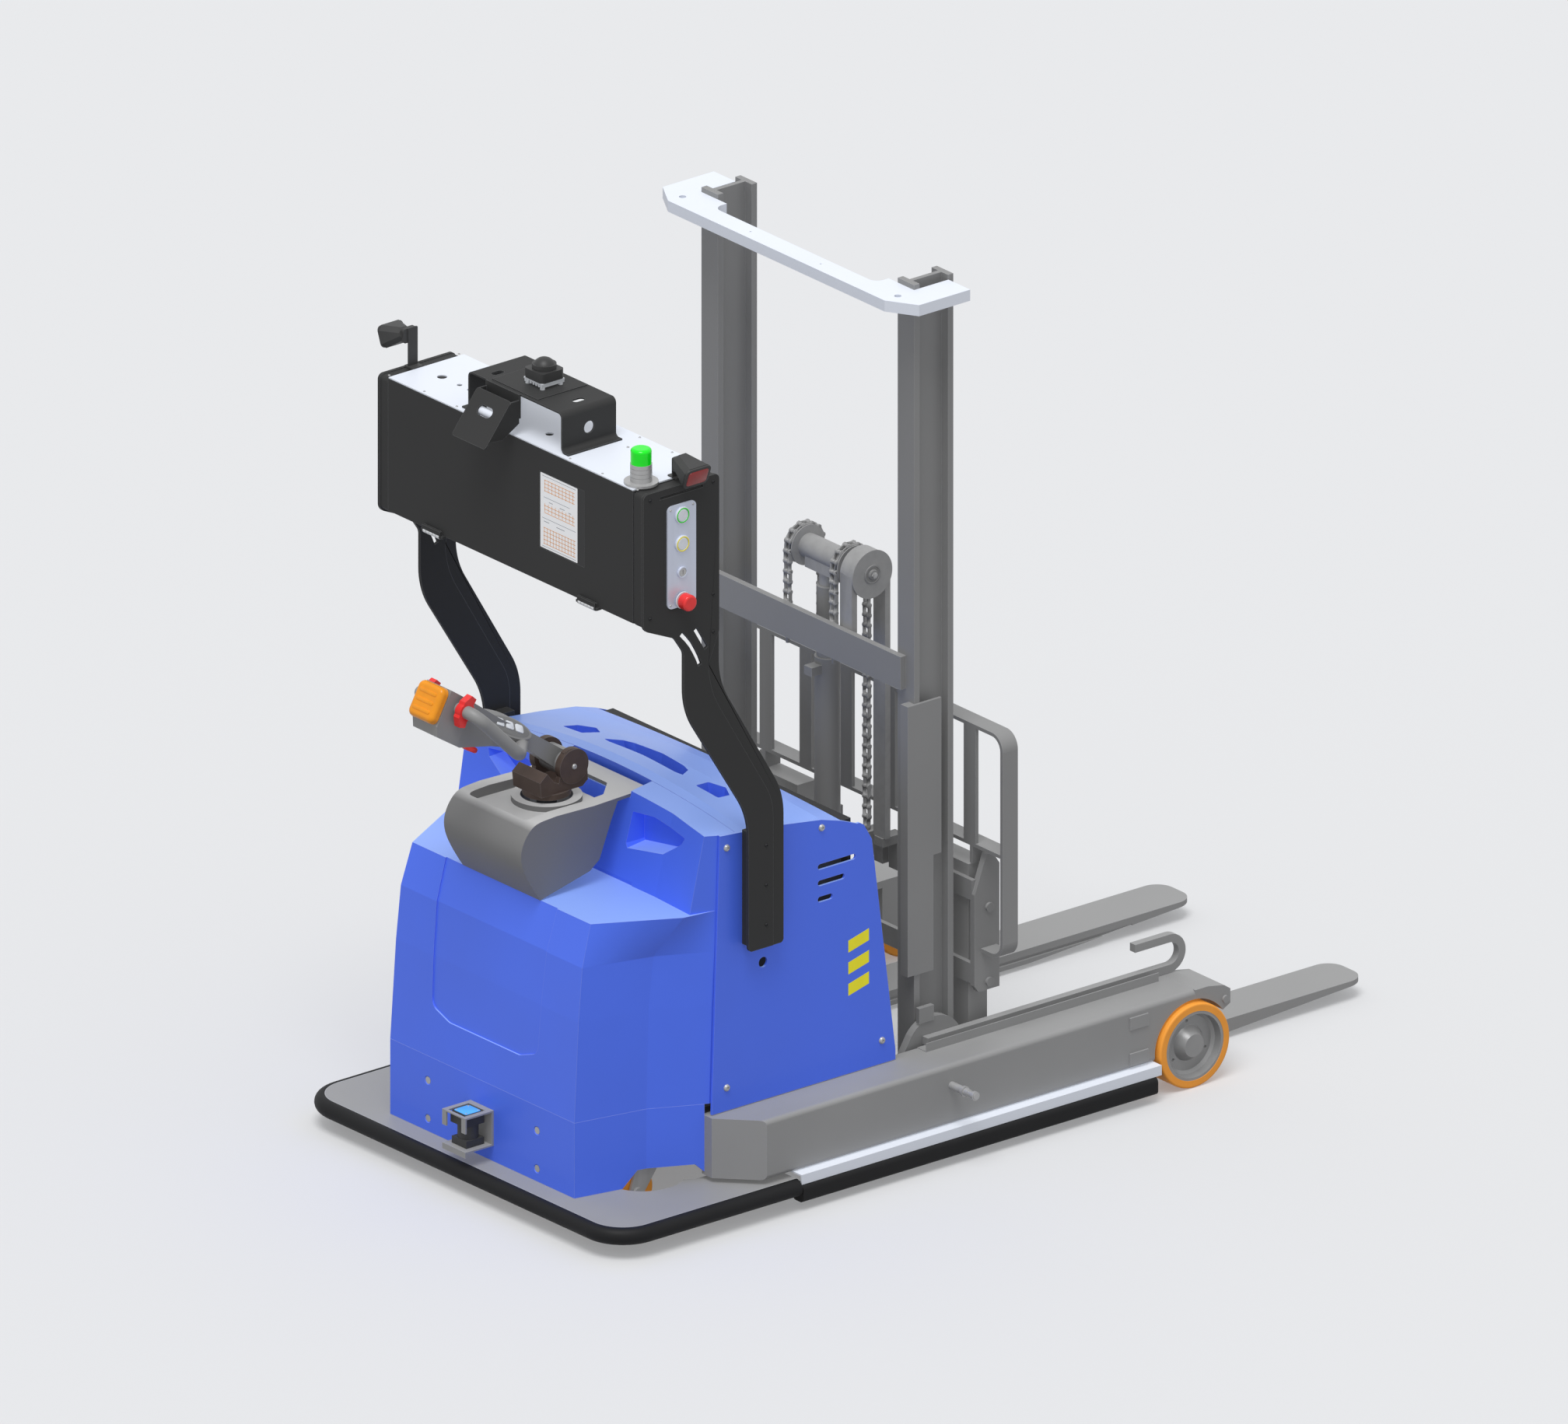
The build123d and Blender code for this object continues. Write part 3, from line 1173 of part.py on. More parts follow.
# Roller chain over each sheave, with its links, and the flat hose over the outer pulley
with BuildPart() as lift_chains:
    for y in (-sheave_y, sheave_y):
        with BuildSketch(upright(y)):
            with Locations(*chain_pins):
                Circle(chain_roller)
        extrude(amount=chain_inner, both=True)
        for first in (0, 1):
            plate_inner = chain_inner + first * chain_plate
            for row in (-1, 1):
                with BuildSketch(upright(y + row * plate_inner)):
                    link_plates(first)
                extrude(amount=-row * chain_plate)
    with BuildSketch(upright(hose_y - hose_width / 2)):
        hose_outer = sheave_radius + hose_half
        hose_inner = hose_pulley + seat
        with Locations((mast_x, sheave_z)):
            Circle(hose_outer)
            Circle(hose_inner, mode=Mode.SUBTRACT)
        with Locations((mast_x, sheave_z - hose_outer / 2)):
            Rectangle(2 * hose_outer + 2, hose_outer, mode=Mode.SUBTRACT)
        hose_middle = (hose_outer + hose_inner) / 2
        for hose_x, foot in ((mast_x - hose_middle, anchor_z + seat), (mast_x + hose_middle, chain_foot)):
            with Locations((hose_x, (sheave_z + foot) / 2)):
                Rectangle(hose_outer - hose_inner, sheave_z - foot)
    extrude(amount=-hose_width)
save(lift_chains, "lift_chains")

# Carriage: side plates and two bars, with rollers inside the mast rails
with BuildPart() as carriage_frame:
    for sign in sides.values():
        with BuildSketch(upright(sign * (plate_outer - 16))):
            with BuildLine():
                Polyline((shank_rear, carriage_bottom), (-467, carriage_bottom), (-467, 640), (-488, 671),
                         (-506, 671), (-542, 575), (-542, 345), close=True)
            make_face()
        extrude(amount=-sign * 16)
        # roller arm reaching back into the rail
        slab((-622, shank_rear - seat), (sign * 300, sign * 318), (360, 610))
        for z in carriage_roller_zs:
            disc(mast_x, (sign * 300, sign * 335), z, 14)
            disc(mast_x, (sign * 334, sign * 355), z, carriage_roller_radius)
            slab((mast_x - 14, -600), (sign * 300, sign * 318), (z - 22, z + 22))
        for z in (537, 349):
            disc(-499, (sign * plate_outer, sign * (plate_outer + 6)), z, 11)
    slab((-542, shank_rear - seat), (-plate_outer + 10, plate_outer - 10), (350, 400))
    slab((-542, shank_rear - seat), (-plate_outer + 10, plate_outer - 10), (560, 610))
    for y in (-sheave_y, sheave_y, hose_y):
        slab((-604, -541), (y - 16, y + 16), (chain_foot - 22, chain_foot - seat))
        slab((-560, -541), (y - 16, y + 16), (560, chain_foot - seat))
save(carriage_frame, "carriage_frame")

# Forks: thick shank and tapered blade with a rounded tip
with BuildPart() as forks:
    for sign in sides.values():
        with BuildSketch(upright(sign * fork_y)):
            with BuildLine():
                Polyline((shank_rear, fork_top - fork_heel), (fork_tip - 500, fork_top - fork_heel),
                         (fork_tip, fork_top - fork_nose), (fork_tip, fork_top), (shank_front, fork_top),
                         (shank_front, shank_top), (shank_rear, shank_top), close=True)
            make_face()
        extrude(amount=fork_width / 2, both=True)
        # cable groove along the inner side
        groove_y = sign * (fork_y - fork_width / 2)
        slab((shank_front + 40, fork_tip - 190), (groove_y - sign, groove_y + sign * 5), (24, 33),
             Mode.SUBTRACT)
    tip_edges = forks.edges().filter_by(Axis.Z).group_by(Axis.X)[-1]
    fillet(tip_edges, 46)
save(forks, "forks")

# Load backrest: bent flat bar with rails and uprights
with BuildPart() as load_backrest:
    with BuildSketch(across(rest_rear)):
        with BuildLine():
            FilletPolyline((-plate_outer - seat, rest_bottom), (-rest_outer, rest_bottom),
                           (-rest_outer, rest_top), (rest_outer, rest_top), (rest_outer, rest_bottom),
                           (plate_outer + seat, rest_bottom),
                           radius=36)
        trace(line_width=rest_thick)
    extrude(amount=rest_depth)
    slab((rest_rear, rest_rear + rest_depth), (-rest_outer, rest_outer),
         (690 - rest_thick / 2, 690 + rest_thick / 2))
    for y in (378, 230, 80):
        for sign in sides.values():
            slab((rest_rear, rest_rear + rest_thick), (sign * y - 22, sign * y + 22), (690, rest_top))
    for sign in sides.values():
        slab((rest_rear, rest_rear + rest_depth), (sign * 379, sign * 388), (shank_top + 2, 690))
save(load_backrest, "load_backrest")

# Cable chain in the trough of the right leg: lower run, bend and upper run
with BuildPart() as cable_chain:
    with BuildSketch(upright(-leg_inner + 9)):
        with Locations((29, chain_bend_z)):
            Circle(chain_bend + 10)
            Circle(chain_bend - 10, mode=Mode.SUBTRACT)
            with Locations((-60, 0)):
                Rectangle(120, 120, mode=Mode.SUBTRACT)
        with Locations(((29 - 700) / 2, chain_bend_z - chain_bend)):
            Rectangle(729, 20)
        with Locations(((29 - 75) / 2, chain_bend_z + chain_bend)):
            Rectangle(104, 20)
    extrude(amount=20)
save(cable_chain, "cable_chain")
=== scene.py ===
# %% [markdown]
# # An autonomous reach truck, dressed for its portrait
#
# The truck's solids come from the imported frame: legs, covers, mast, cabinet, wheels. This lesson
# gives each of them a finish built from nodes, then adds the small things that a casting or a sheet
# has after assembly: screws, coloured rings, stripes, hinge sleeves, a screen page, lamp lenses.
# Lengths in the tables below are millimetres from the load wheel axle, because the truck was
# measured from there, and a small helper turns them into metres in the frame of the solids.

# %% The frame
import json
import math
import bpy
import bmesh
from mathutils import Matrix, Vector


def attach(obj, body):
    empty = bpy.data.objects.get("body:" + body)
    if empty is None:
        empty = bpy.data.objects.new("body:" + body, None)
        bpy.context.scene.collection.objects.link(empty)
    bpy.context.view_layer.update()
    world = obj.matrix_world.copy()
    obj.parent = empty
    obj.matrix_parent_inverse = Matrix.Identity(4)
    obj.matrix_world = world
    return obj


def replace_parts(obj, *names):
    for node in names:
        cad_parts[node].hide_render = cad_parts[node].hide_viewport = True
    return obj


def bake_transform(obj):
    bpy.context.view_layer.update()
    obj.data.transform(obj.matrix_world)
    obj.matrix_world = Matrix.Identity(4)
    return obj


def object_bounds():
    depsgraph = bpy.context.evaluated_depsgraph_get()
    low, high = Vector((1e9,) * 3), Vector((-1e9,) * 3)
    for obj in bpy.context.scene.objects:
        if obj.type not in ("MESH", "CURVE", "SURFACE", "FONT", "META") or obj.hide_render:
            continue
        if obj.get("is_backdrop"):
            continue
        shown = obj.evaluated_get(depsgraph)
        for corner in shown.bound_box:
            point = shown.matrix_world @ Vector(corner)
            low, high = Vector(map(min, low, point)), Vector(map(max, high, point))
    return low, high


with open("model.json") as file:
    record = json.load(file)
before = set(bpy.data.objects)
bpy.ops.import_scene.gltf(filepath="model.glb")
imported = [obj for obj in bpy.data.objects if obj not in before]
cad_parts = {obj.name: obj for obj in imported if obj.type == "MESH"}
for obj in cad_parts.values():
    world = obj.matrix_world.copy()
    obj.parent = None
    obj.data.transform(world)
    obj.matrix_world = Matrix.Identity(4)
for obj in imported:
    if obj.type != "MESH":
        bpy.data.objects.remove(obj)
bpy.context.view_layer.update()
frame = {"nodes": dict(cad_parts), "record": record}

# %% [markdown]
# ## The camera
#
# The picture that we follow has no perspective: parallel edges stay parallel. So the camera is
# orthographic. It looks from behind the truck on its right, 39 degrees round and 22 degrees down.

# %% Camera
AXLE_X = 603.0                  # load wheel axle ahead of the middle of the truck
AZIMUTH, ELEVATION = -39.13, 22.046
AIM = (-774.7, 0, 966.1)        # the point in the middle of the picture
VIEW_WIDTH = 3.6655
CAMERA_DISTANCE = 9.0
CLIP_END = 60.0


def place(x, y, z):
    """A point given in millimetres from the load wheel axle, in metres in the frame."""
    return Vector((x + AXLE_X, y, z)) / 1000


def towards(heading, height):
    """The direction to a viewer or a lamp, from its heading and its height in degrees."""
    a, e = math.radians(heading), math.radians(height)
    return Vector((math.sin(a) * math.cos(e), -math.cos(a) * math.cos(e), math.sin(e)))


def look_along(thing, direction):
    """Turn a camera or a lamp so that it points along the direction."""
    thing.rotation_euler = direction.to_track_quat("-Z", "Y").to_euler()


camera = bpy.data.objects.new("portrait_camera", bpy.data.cameras.new("portrait_camera"))
bpy.context.scene.collection.objects.link(camera)
camera.data.type = "ORTHO"
camera.data.ortho_scale = VIEW_WIDTH
camera.data.clip_end = CLIP_END
camera.location = place(*AIM) + towards(AZIMUTH, ELEVATION) * CAMERA_DISTANCE
look_along(camera, -towards(AZIMUTH, ELEVATION))
bpy.context.scene.camera = camera
print("camera at", [round(v, 3) for v in camera.location])

# %% [markdown]
# ## Floor and light
#
# A plain pale floor and a white world. The world lights the truck evenly from all sides, and one
# wide soft lamp high behind the camera gives each top face a lighter tone than the sides, which is
# what tells their directions apart. The camera, mirrors and glass see the world as white. The floor
# throws back less light than the camera sees on it, or the sides would come out as light as the tops.
# A second lamp in the same place casts no shadow, so the covers under the cabinet keep their colour.
# Two small helpers come first: one turns a colour code into shader values, one adds a shader node.

# %% Node helpers
def linear(code):
    """The shader's colour for a six figure colour code as seen on a screen."""
    values = [int(code[i:i + 2], 16) / 255 for i in (1, 3, 5)]
    return tuple(v / 12.92 if v <= 0.04045 else ((v + 0.055) / 1.055) ** 2.4 for v in values) + (1.0,)


def add(tree, kind, inputs=None, **settings):
    """A node of this kind, with its properties and the values of its inputs set."""
    made = tree.nodes.new(kind)
    for key, value in settings.items():
        setattr(made, key, value)
    for key, value in (inputs or {}).items():
        made.inputs[key].default_value = value
    return made


print("half grey on a screen is", round(linear("#808080")[0], 3), "to the shader")

# %% Floor
FLOOR_HALF = 25.0
FLOOR_SEEN = (0.72, 0.725, 0.735, 1)
FLOOR_BOUNCE = (0.34, 0.34, 0.345, 1)
floor_mesh = bpy.data.meshes.new("floor")
floor_bm = bmesh.new()
bmesh.ops.create_grid(floor_bm, x_segments=2, y_segments=2, size=FLOOR_HALF)
floor_bm.to_mesh(floor_mesh)
floor_bm.free()
floor = bpy.data.objects.new("floor", floor_mesh)
bpy.context.scene.collection.objects.link(floor)
floor_paint = bpy.data.materials.new("pale_floor")
floor_paint.use_nodes = True
floor_tree = floor_paint.node_tree
floor_tree.nodes.clear()
floor_seen = add(floor_tree, "ShaderNodeBsdfDiffuse", {"Color": FLOOR_SEEN})
floor_bounce = add(floor_tree, "ShaderNodeBsdfDiffuse", {"Color": FLOOR_BOUNCE})
floor_rays = add(floor_tree, "ShaderNodeLightPath")
floor_mix = add(floor_tree, "ShaderNodeMixShader")
floor_out = add(floor_tree, "ShaderNodeOutputMaterial")
floor_tree.links.new(floor_rays.outputs["Is Diffuse Ray"], floor_mix.inputs[0])
floor_tree.links.new(floor_seen.outputs[0], floor_mix.inputs[1])
floor_tree.links.new(floor_bounce.outputs[0], floor_mix.inputs[2])
floor_tree.links.new(floor_mix.outputs[0], floor_out.inputs["Surface"])
floor_mesh.materials.append(floor_paint)
floor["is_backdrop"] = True
print("floor is", 2 * FLOOR_HALF, "m wide")

# %% World
WORLD_LEVEL = 0.45
LIGHT_COLOUR = (0.97, 0.98, 1.0, 1)
SEEN_COLOUR = (0.9, 0.91, 0.92, 1)
world = bpy.data.worlds.new("studio")
bpy.context.scene.world = world
world.use_nodes = True
sky = world.node_tree
sky.nodes.clear()
rays = add(sky, "ShaderNodeLightPath")
mirrored = add(sky, "ShaderNodeMath", operation="MAXIMUM")
seen = add(sky, "ShaderNodeMath", operation="MAXIMUM")
light = add(sky, "ShaderNodeBackground", {"Color": LIGHT_COLOUR, "Strength": WORLD_LEVEL})
backdrop = add(sky, "ShaderNodeBackground", {"Color": SEEN_COLOUR, "Strength": 1.0})
sky_mix = add(sky, "ShaderNodeMixShader")
sky_out = add(sky, "ShaderNodeOutputWorld")
sky.links.new(rays.outputs["Is Glossy Ray"], mirrored.inputs[0])
sky.links.new(rays.outputs["Is Transmission Ray"], mirrored.inputs[1])
sky.links.new(rays.outputs["Is Camera Ray"], seen.inputs[0])
sky.links.new(mirrored.outputs[0], seen.inputs[1])
sky.links.new(seen.outputs[0], sky_mix.inputs[0])
sky.links.new(light.outputs[0], sky_mix.inputs[1])
sky.links.new(backdrop.outputs[0], sky_mix.inputs[2])
sky.links.new(sky_mix.outputs[0], sky_out.inputs["Surface"])
bpy.context.scene.view_settings.view_transform = "Standard"
print("world level", WORLD_LEVEL)

# %% Lamps
LAMP_HEADING, LAMP_HEIGHT, LAMP_SPREAD = -52, 68, 30
LAMP_DISTANCE = 6.0


def sun(name, strength, shadow):
    """A wide soft sun high behind the camera, with or without shadows."""
    lamp = bpy.data.objects.new(name, bpy.data.lights.new(name, "SUN"))
    lamp.data.energy = strength
    lamp.data.angle = math.radians(LAMP_SPREAD)
    lamp.data.use_shadow = shadow
    lamp.location = towards(LAMP_HEADING, LAMP_HEIGHT) * LAMP_DISTANCE
    look_along(lamp, -towards(LAMP_HEADING, LAMP_HEIGHT))
    bpy.context.scene.collection.objects.link(lamp)
    print(name, "has strength", strength)


sun("high_lamp", 1.2, True)
sun("top_fill", 1.15, False)

# %% [markdown]
# ## How a finish is made
#
# Paint on a real machine is never one flat colour. Over a hand's width it drifts a little, within a
# few millimetres it has orange peel, and on edges it is paler: partly rubbed by wear, partly a painted
# highlight in place of the light that edges catch. One helper builds all three from the object's own
# coordinates: a large soft noise for the drift, a fine noise for the relief, and a bevel compared with
# the true surface to find the edges. Brushed metal stretches the noise along one direction. Faces that
# look up can get a painted highlight, a lighter colour in place of the bright ceiling that glossy
# covers reflect, and a piece of two colours changes its colour at a height.

# %% Noise and mixing
def noise(tree, source, size, detail, stretch):
    """Noise with features about size metres wide, finer along an axis where stretch is larger."""
    mapping = add(tree, "ShaderNodeMapping", {"Scale": stretch})
    tree.links.new(source, mapping.inputs["Vector"])
    made = add(tree, "ShaderNodeTexNoise", {"Scale": 1 / size, "Detail": detail})
    tree.links.new(mapping.outputs[0], made.inputs["Vector"])
    return made.outputs["Fac"]


def ranged(tree, source, low, high, to_low, to_high):
    """The source between low and high, spread over to_low to to_high."""
    limits = {"From Min": low, "From Max": high, "To Min": to_low, "To Max": to_high}
    made = add(tree, "ShaderNodeMapRange", limits)
    tree.links.new(source, made.inputs["Value"])
    return made.outputs[0]


def height_of(tree, vector):
    """The Z part of a place or a direction."""
    parts = add(tree, "ShaderNodeSeparateXYZ")
    tree.links.new(vector, parts.inputs[0])
    return parts.outputs["Z"]


def covered(tree, painted, colour, factor):
    """What is painted, covered by a colour as far as the factor says."""
    made = add(tree, "ShaderNodeMix", {"B": colour}, data_type="RGBA")
    tree.links.new(painted, made.inputs["A"])
    tree.links.new(factor, made.inputs["Factor"])
    return made.outputs["Result"]


print("noise, range, height and cover helpers are ready")

# %% Painted top highlight and paler edges
# Faces that look up get a painted highlight, a lighter colour in place of a reflected bright ceiling.
UP_FROM, UP_FULL, UP_SHARE = 0.72, 0.97, 0.7
# Edges turn paler, partly from wear and partly as a painted highlight.
EDGE_RADIUS = 0.0015
EDGE_FROM, EDGE_FULL = 0.97, 0.8
WORN_AND_HIGHLIT_EDGE = (0.75, 0.77, 0.8, 1)


def painted_top_highlight(tree, painted, colour):
    """A painted highlight: a lighter colour on faces that look up."""
    normal = add(tree, "ShaderNodeNewGeometry").outputs["Normal"]
    factor = ranged(tree, height_of(tree, normal), UP_FROM, UP_FULL, 0, UP_SHARE)
    return covered(tree, painted, linear(colour), factor)


def worn_and_highlit_edges(tree, painted, share):
    """A paler line, partly wear and partly painted highlight, where a rounded copy turns from the true
    surface.
    """
    corner = add(tree, "ShaderNodeBevel", {"Radius": EDGE_RADIUS}, samples=4)
    surface = add(tree, "ShaderNodeNewGeometry")
    facing = add(tree, "ShaderNodeVectorMath", operation="DOT_PRODUCT")
    tree.links.new(corner.outputs[0], facing.inputs[0])
    tree.links.new(surface.outputs["Normal"], facing.inputs[1])
    factor = ranged(tree, facing.outputs["Value"], EDGE_FROM, EDGE_FULL, 0, share)
    return covered(tree, painted, WORN_AND_HIGHLIT_EDGE, factor)


print("edges are rubbed within", EDGE_RADIUS * 1000, "mm")

# %% The finish helper
NOISE_LOW, NOISE_HIGH = 0.3, 0.7    # where most values of the noise lie
ROUGHNESS_DRIFT = 0.12
COAT_ROUGHNESS = 0.12


def finish(name, colour, roughness, drift=0.07, cloud=0.3, grain=0.002, relief=0.00003, metallic=0.0,
           coat=0.0, edge_wear_and_highlight=0.0, stretch=(1, 1, 1), above=None, glow=0.0, shine=0.3, top_highlight=None):
    """A painted, moulded or metal finish.

    drift and cloud are the strength and the size of the soft noise, relief and grain those of the fine
    one. above is (height, colour) where a piece changes its colour. The last argument is the colour of a
    painted highlight on faces that look up. The edge share gives paler edges, partly wear and partly
    painted highlight.
    """
    material = bpy.data.materials.new(name)
    material.use_nodes = True
    tree = material.node_tree
    shader = tree.nodes["Principled BSDF"]
    levels = {"Metallic": metallic, "Coat Weight": coat, "Coat Roughness": COAT_ROUGHNESS,
              "Specular IOR Level": shine}
    if glow:
        levels.update({"Emission Color": linear(colour), "Emission Strength": glow})
    for key, value in levels.items():
        shader.inputs[key].default_value = value
    spot = add(tree, "ShaderNodeTexCoord").outputs["Object"]
    tint = add(tree, "ShaderNodeHueSaturation", {"Color": linear(colour)})
    if above:
        low_colour = add(tree, "ShaderNodeRGB")
        low_colour.outputs[0].default_value = linear(colour)
        higher = add(tree, "ShaderNodeMath", {1: above[0]}, operation="GREATER_THAN")
        tree.links.new(height_of(tree, spot), higher.inputs[0])
        both_colours = covered(tree, low_colour.outputs[0], linear(above[1]), higher.outputs[0])
        tree.links.new(both_colours, tint.inputs["Color"])
    clouds = noise(tree, spot, cloud, 3, stretch)
    tree.links.new(ranged(tree, clouds, NOISE_LOW, NOISE_HIGH, 1 - drift, 1 + drift), tint.inputs["Value"])
    painted = tint.outputs[0]
    # A painted highlight on faces that look up.
    if top_highlight:
        painted = painted_top_highlight(tree, painted, top_highlight)
    # Paler edges: partly wear, partly painted highlight.
    if edge_wear_and_highlight:
        painted = worn_and_highlit_edges(tree, painted, edge_wear_and_highlight)
    tree.links.new(painted, shader.inputs["Base Color"])
    rough = ranged(tree, clouds, NOISE_LOW, NOISE_HIGH, roughness * (1 - ROUGHNESS_DRIFT),
                   min(1, roughness * (1 + ROUGHNESS_DRIFT)))
    tree.links.new(rough, shader.inputs["Roughness"])
    bump = add(tree, "ShaderNodeBump", {"Strength": 1.0, "Distance": relief})
    tree.links.new(noise(tree, spot, grain, 2, stretch), bump.inputs["Height"])
    tree.links.new(bump.outputs[0], shader.inputs["Normal"])
    return material


print("roughness drifts by", ROUGHNESS_DRIFT, "of itself")

# %% [markdown]
# ## The finishes of this truck
#
# One finish for each material slot of the record: glossy blue covers, satin grey powder coat on the
# steel, black sheet for the cabinet, white for the crossbar and the lid, rubber, polyurethane,
# and the small bright plastics.

# %% Finishes by slot
# The blue cover and the hood get a painted highlight, a lighter colour on faces that look up. Paler edges are
# partly wear and partly painted highlight.
FINISHES = {
    "body_blue": finish("blue_cover", "#5277F8", 0.42, drift=0.03, coat=0.08, edge_wear_and_highlight=0.3, relief=0.00002,
                        top_highlight="#A4C4FF"),
    "grey_steel": finish("grey_powder_coat", "#979797", 0.5, drift=0.04, edge_wear_and_highlight=0.3, grain=0.0012),
    "mast_grey": finish("mast_powder_coat", "#8E8E8E", 0.5, drift=0.04, edge_wear_and_highlight=0.3, grain=0.0012),
    "black_sheet": finish("black_powder_coat", "#3A3A3A", 0.6, drift=0.06, edge_wear_and_highlight=0.18, grain=0.001,
                          shine=0.12),
    "white_plate": finish("white_powder_coat", "#E9EEF8", 0.45, drift=0.012, edge_wear_and_highlight=0.1, grain=0.0012,
                          shine=0.2),
    "bright_steel": finish("ground_steel", "#B4B4B4", 0.38, drift=0.05, metallic=0.35, cloud=0.02,
                           stretch=(1, 1, 0.04), relief=0.00001),
    "chain_steel": finish("oiled_chain_steel", "#A2A2A2", 0.45, drift=0.06, metallic=0.1, cloud=0.02),
    "bumper_rubber": finish("bumper_rubber", "#202021", 0.6, drift=0.12, cloud=0.12, grain=0.0015,
                            relief=0.00006, shine=0.15),
    "wheel_orange": finish("tyre_polyurethane", "#FCA744", 0.45, drift=0.05, cloud=0.06, edge_wear_and_highlight=0.1,
                           shine=0.2),
    "rim_steel": finish("rim_paint", "#969696", 0.4, drift=0.05, metallic=0.2, cloud=0.05, edge_wear_and_highlight=0.3),
    "hood_grey": finish("moulded_grey_hood", "#7C7C7C", 0.5, drift=0.03, grain=0.0009, relief=0.00004,
                        top_highlight="#D8D8D8"),
    "tiller_grey": finish("moulded_grey_tiller", "#8F8F8F", 0.42, drift=0.04, grain=0.0009,
                          relief=0.00003),
    "yoke_brown": finish("brown_yoke_casting", "#554842", 0.5, drift=0.1, cloud=0.03, edge_wear_and_highlight=0.2,
                         shine=0.2),
    "safety_orange": finish("orange_cap_plastic", "#F29A22", 0.38, drift=0.05, cloud=0.03, coat=0.15,
                            shine=0.2),
    "control_red": finish("red_control_plastic", "#EE3A3A", 0.3, drift=0.05, cloud=0.02, coat=0.25,
                          shine=0.2),
    "button_white": finish("white_button_plastic", "#E4E8EE", 0.35, drift=0.03, cloud=0.01, coat=0.2),
    "panel_silver": finish("anodised_panel", "#D0D6E6", 0.35, drift=0.03, metallic=0.2,
                           stretch=(1, 1, 0.05), cloud=0.02, relief=0.00001),
    "screen_glass": finish("black_screen_glass", "#0C0D0E", 0.12, drift=0.05, coat=0.3,
                           relief=0.000002, shine=0.2),
    "lens_green": finish("green_lens", "#08E81C", 0.25, drift=0.05, cloud=0.02, coat=0.4, glow=0.12,
                         shine=0.2),
    "dark_plastic": finish("dark_moulding", "#454545", 0.5, drift=0.08, cloud=0.05, grain=0.0008,
                           shine=0.15),
    "battery_case": finish("battery_case", "#5C5F66", 0.6, drift=0.08),
}
slot_of = {part["node"]: part["material_slot"] for part in frame["record"]["subparts"]}
for node, solid in frame["nodes"].items():
    for own in solid.material_slots:
        own.link = "OBJECT"
        own.material = FINISHES[slot_of[node]]
print(len(frame["nodes"]), "solids,", len(FINISHES), "finishes")

# %% [markdown]
# ## Making a new piece
#
# A new piece starts in a bmesh on a flat work plane: u to the right, v up, n out of the surface it
# sits on. A matrix then carries it to its place on the truck, so its object stays at the origin.

# %% Work planes
def plane(x, y, z, u, v):
    """Matrix of a work plane at a place in millimetres, with u and v as directions in the frame."""
    u, v = Vector(u).normalized(), Vector(v).normalized()
    matrix = Matrix((u, v, u.cross(v))).transposed().to_4x4()
    matrix.translation = place(x, y, z)
    return matrix


def rear_plane(x, y, z):
    """On a face that looks backwards, u to the truck's right."""
    return plane(x, y, z, (0, -1, 0), (0, 0, 1))


def side_plane(x, y, z):
    """On a side face, u along the truck, n away from its middle."""
    return plane(x, y, z, (1 if y < 0 else -1, 0, 0), (0, 0, 1))


def top_plane(x, y, z):
    """On a face that looks up."""
    return plane(x, y, z, (1, 0, 0), (0, 1, 0))


print("n of a plane on the right side is", tuple(side_plane(0, -1, 0).col[2].xyz))

# %% The piece helper
SMOOTH_ANGLE = math.radians(32)
MERGE = 1e-7


def object_of(name, bm):
    """An object with the bmesh as its mesh, faces turned outwards."""
    bmesh.ops.recalc_face_normals(bm, faces=bm.faces)
    mesh = bpy.data.meshes.new(name)
    bm.to_mesh(mesh)
    bm.free()
    made = bpy.data.objects.new(name, mesh)
    bpy.context.scene.collection.objects.link(made)
    return made


def shaded(name, bm, finish_slot, material=None):
    """An object that is smooth between its sharp edges and has its finish."""
    made = object_of(name, bm)
    made.data.shade_smooth()
    made.data.set_sharp_from_angle(angle=SMOOTH_ANGLE)
    made.data.materials.append(material or FINISHES[finish_slot])
    print(f"{name}: {len(made.data.polygons)} faces")
    return made


def piece(name, bm, finish_slot, body, material=None):
    """Close the mesh, shade it and let it ride on the body."""
    bmesh.ops.remove_doubles(bm, verts=bm.verts, dist=MERGE)
    made = shaded(name, bm, finish_slot, material)
    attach(made, body)
    return made


print("edges over", round(math.degrees(SMOOTH_ANGLE)), "degrees stay sharp")

# %% Spun and extruded forms
def carry(bm, matrix, before):
    """Carry all that was added since before, from the work plane to its place."""
    bmesh.ops.transform(bm, matrix=matrix, verts=[v for v in bm.verts if v not in before])


def turned(bm, matrix, profile, steps):
    """Spin a profile of (radius, height) in millimetres about n."""
    before = set(bm.verts)
    verts = [bm.verts.new((r / 1000, 0, h / 1000)) for r, h in profile]
    edges = [bm.edges.new(pair) for pair in zip(verts, verts[1:])]
    bmesh.ops.spin(bm, geom=verts + edges, cent=(0, 0, 0), axis=(0, 0, 1), angle=2 * math.pi,
                   steps=steps, use_merge=True, use_duplicate=False)
    carry(bm, matrix, before)


def bevelled(bm, edges, width, segments):
    """Cut a bevel of this width in millimetres along the edges."""
    bmesh.ops.bevel(bm, geom=edges, offset=width / 1000, offset_type="OFFSET", segments=segments,
                    profile=0.5, affect="EDGES", material=-1)


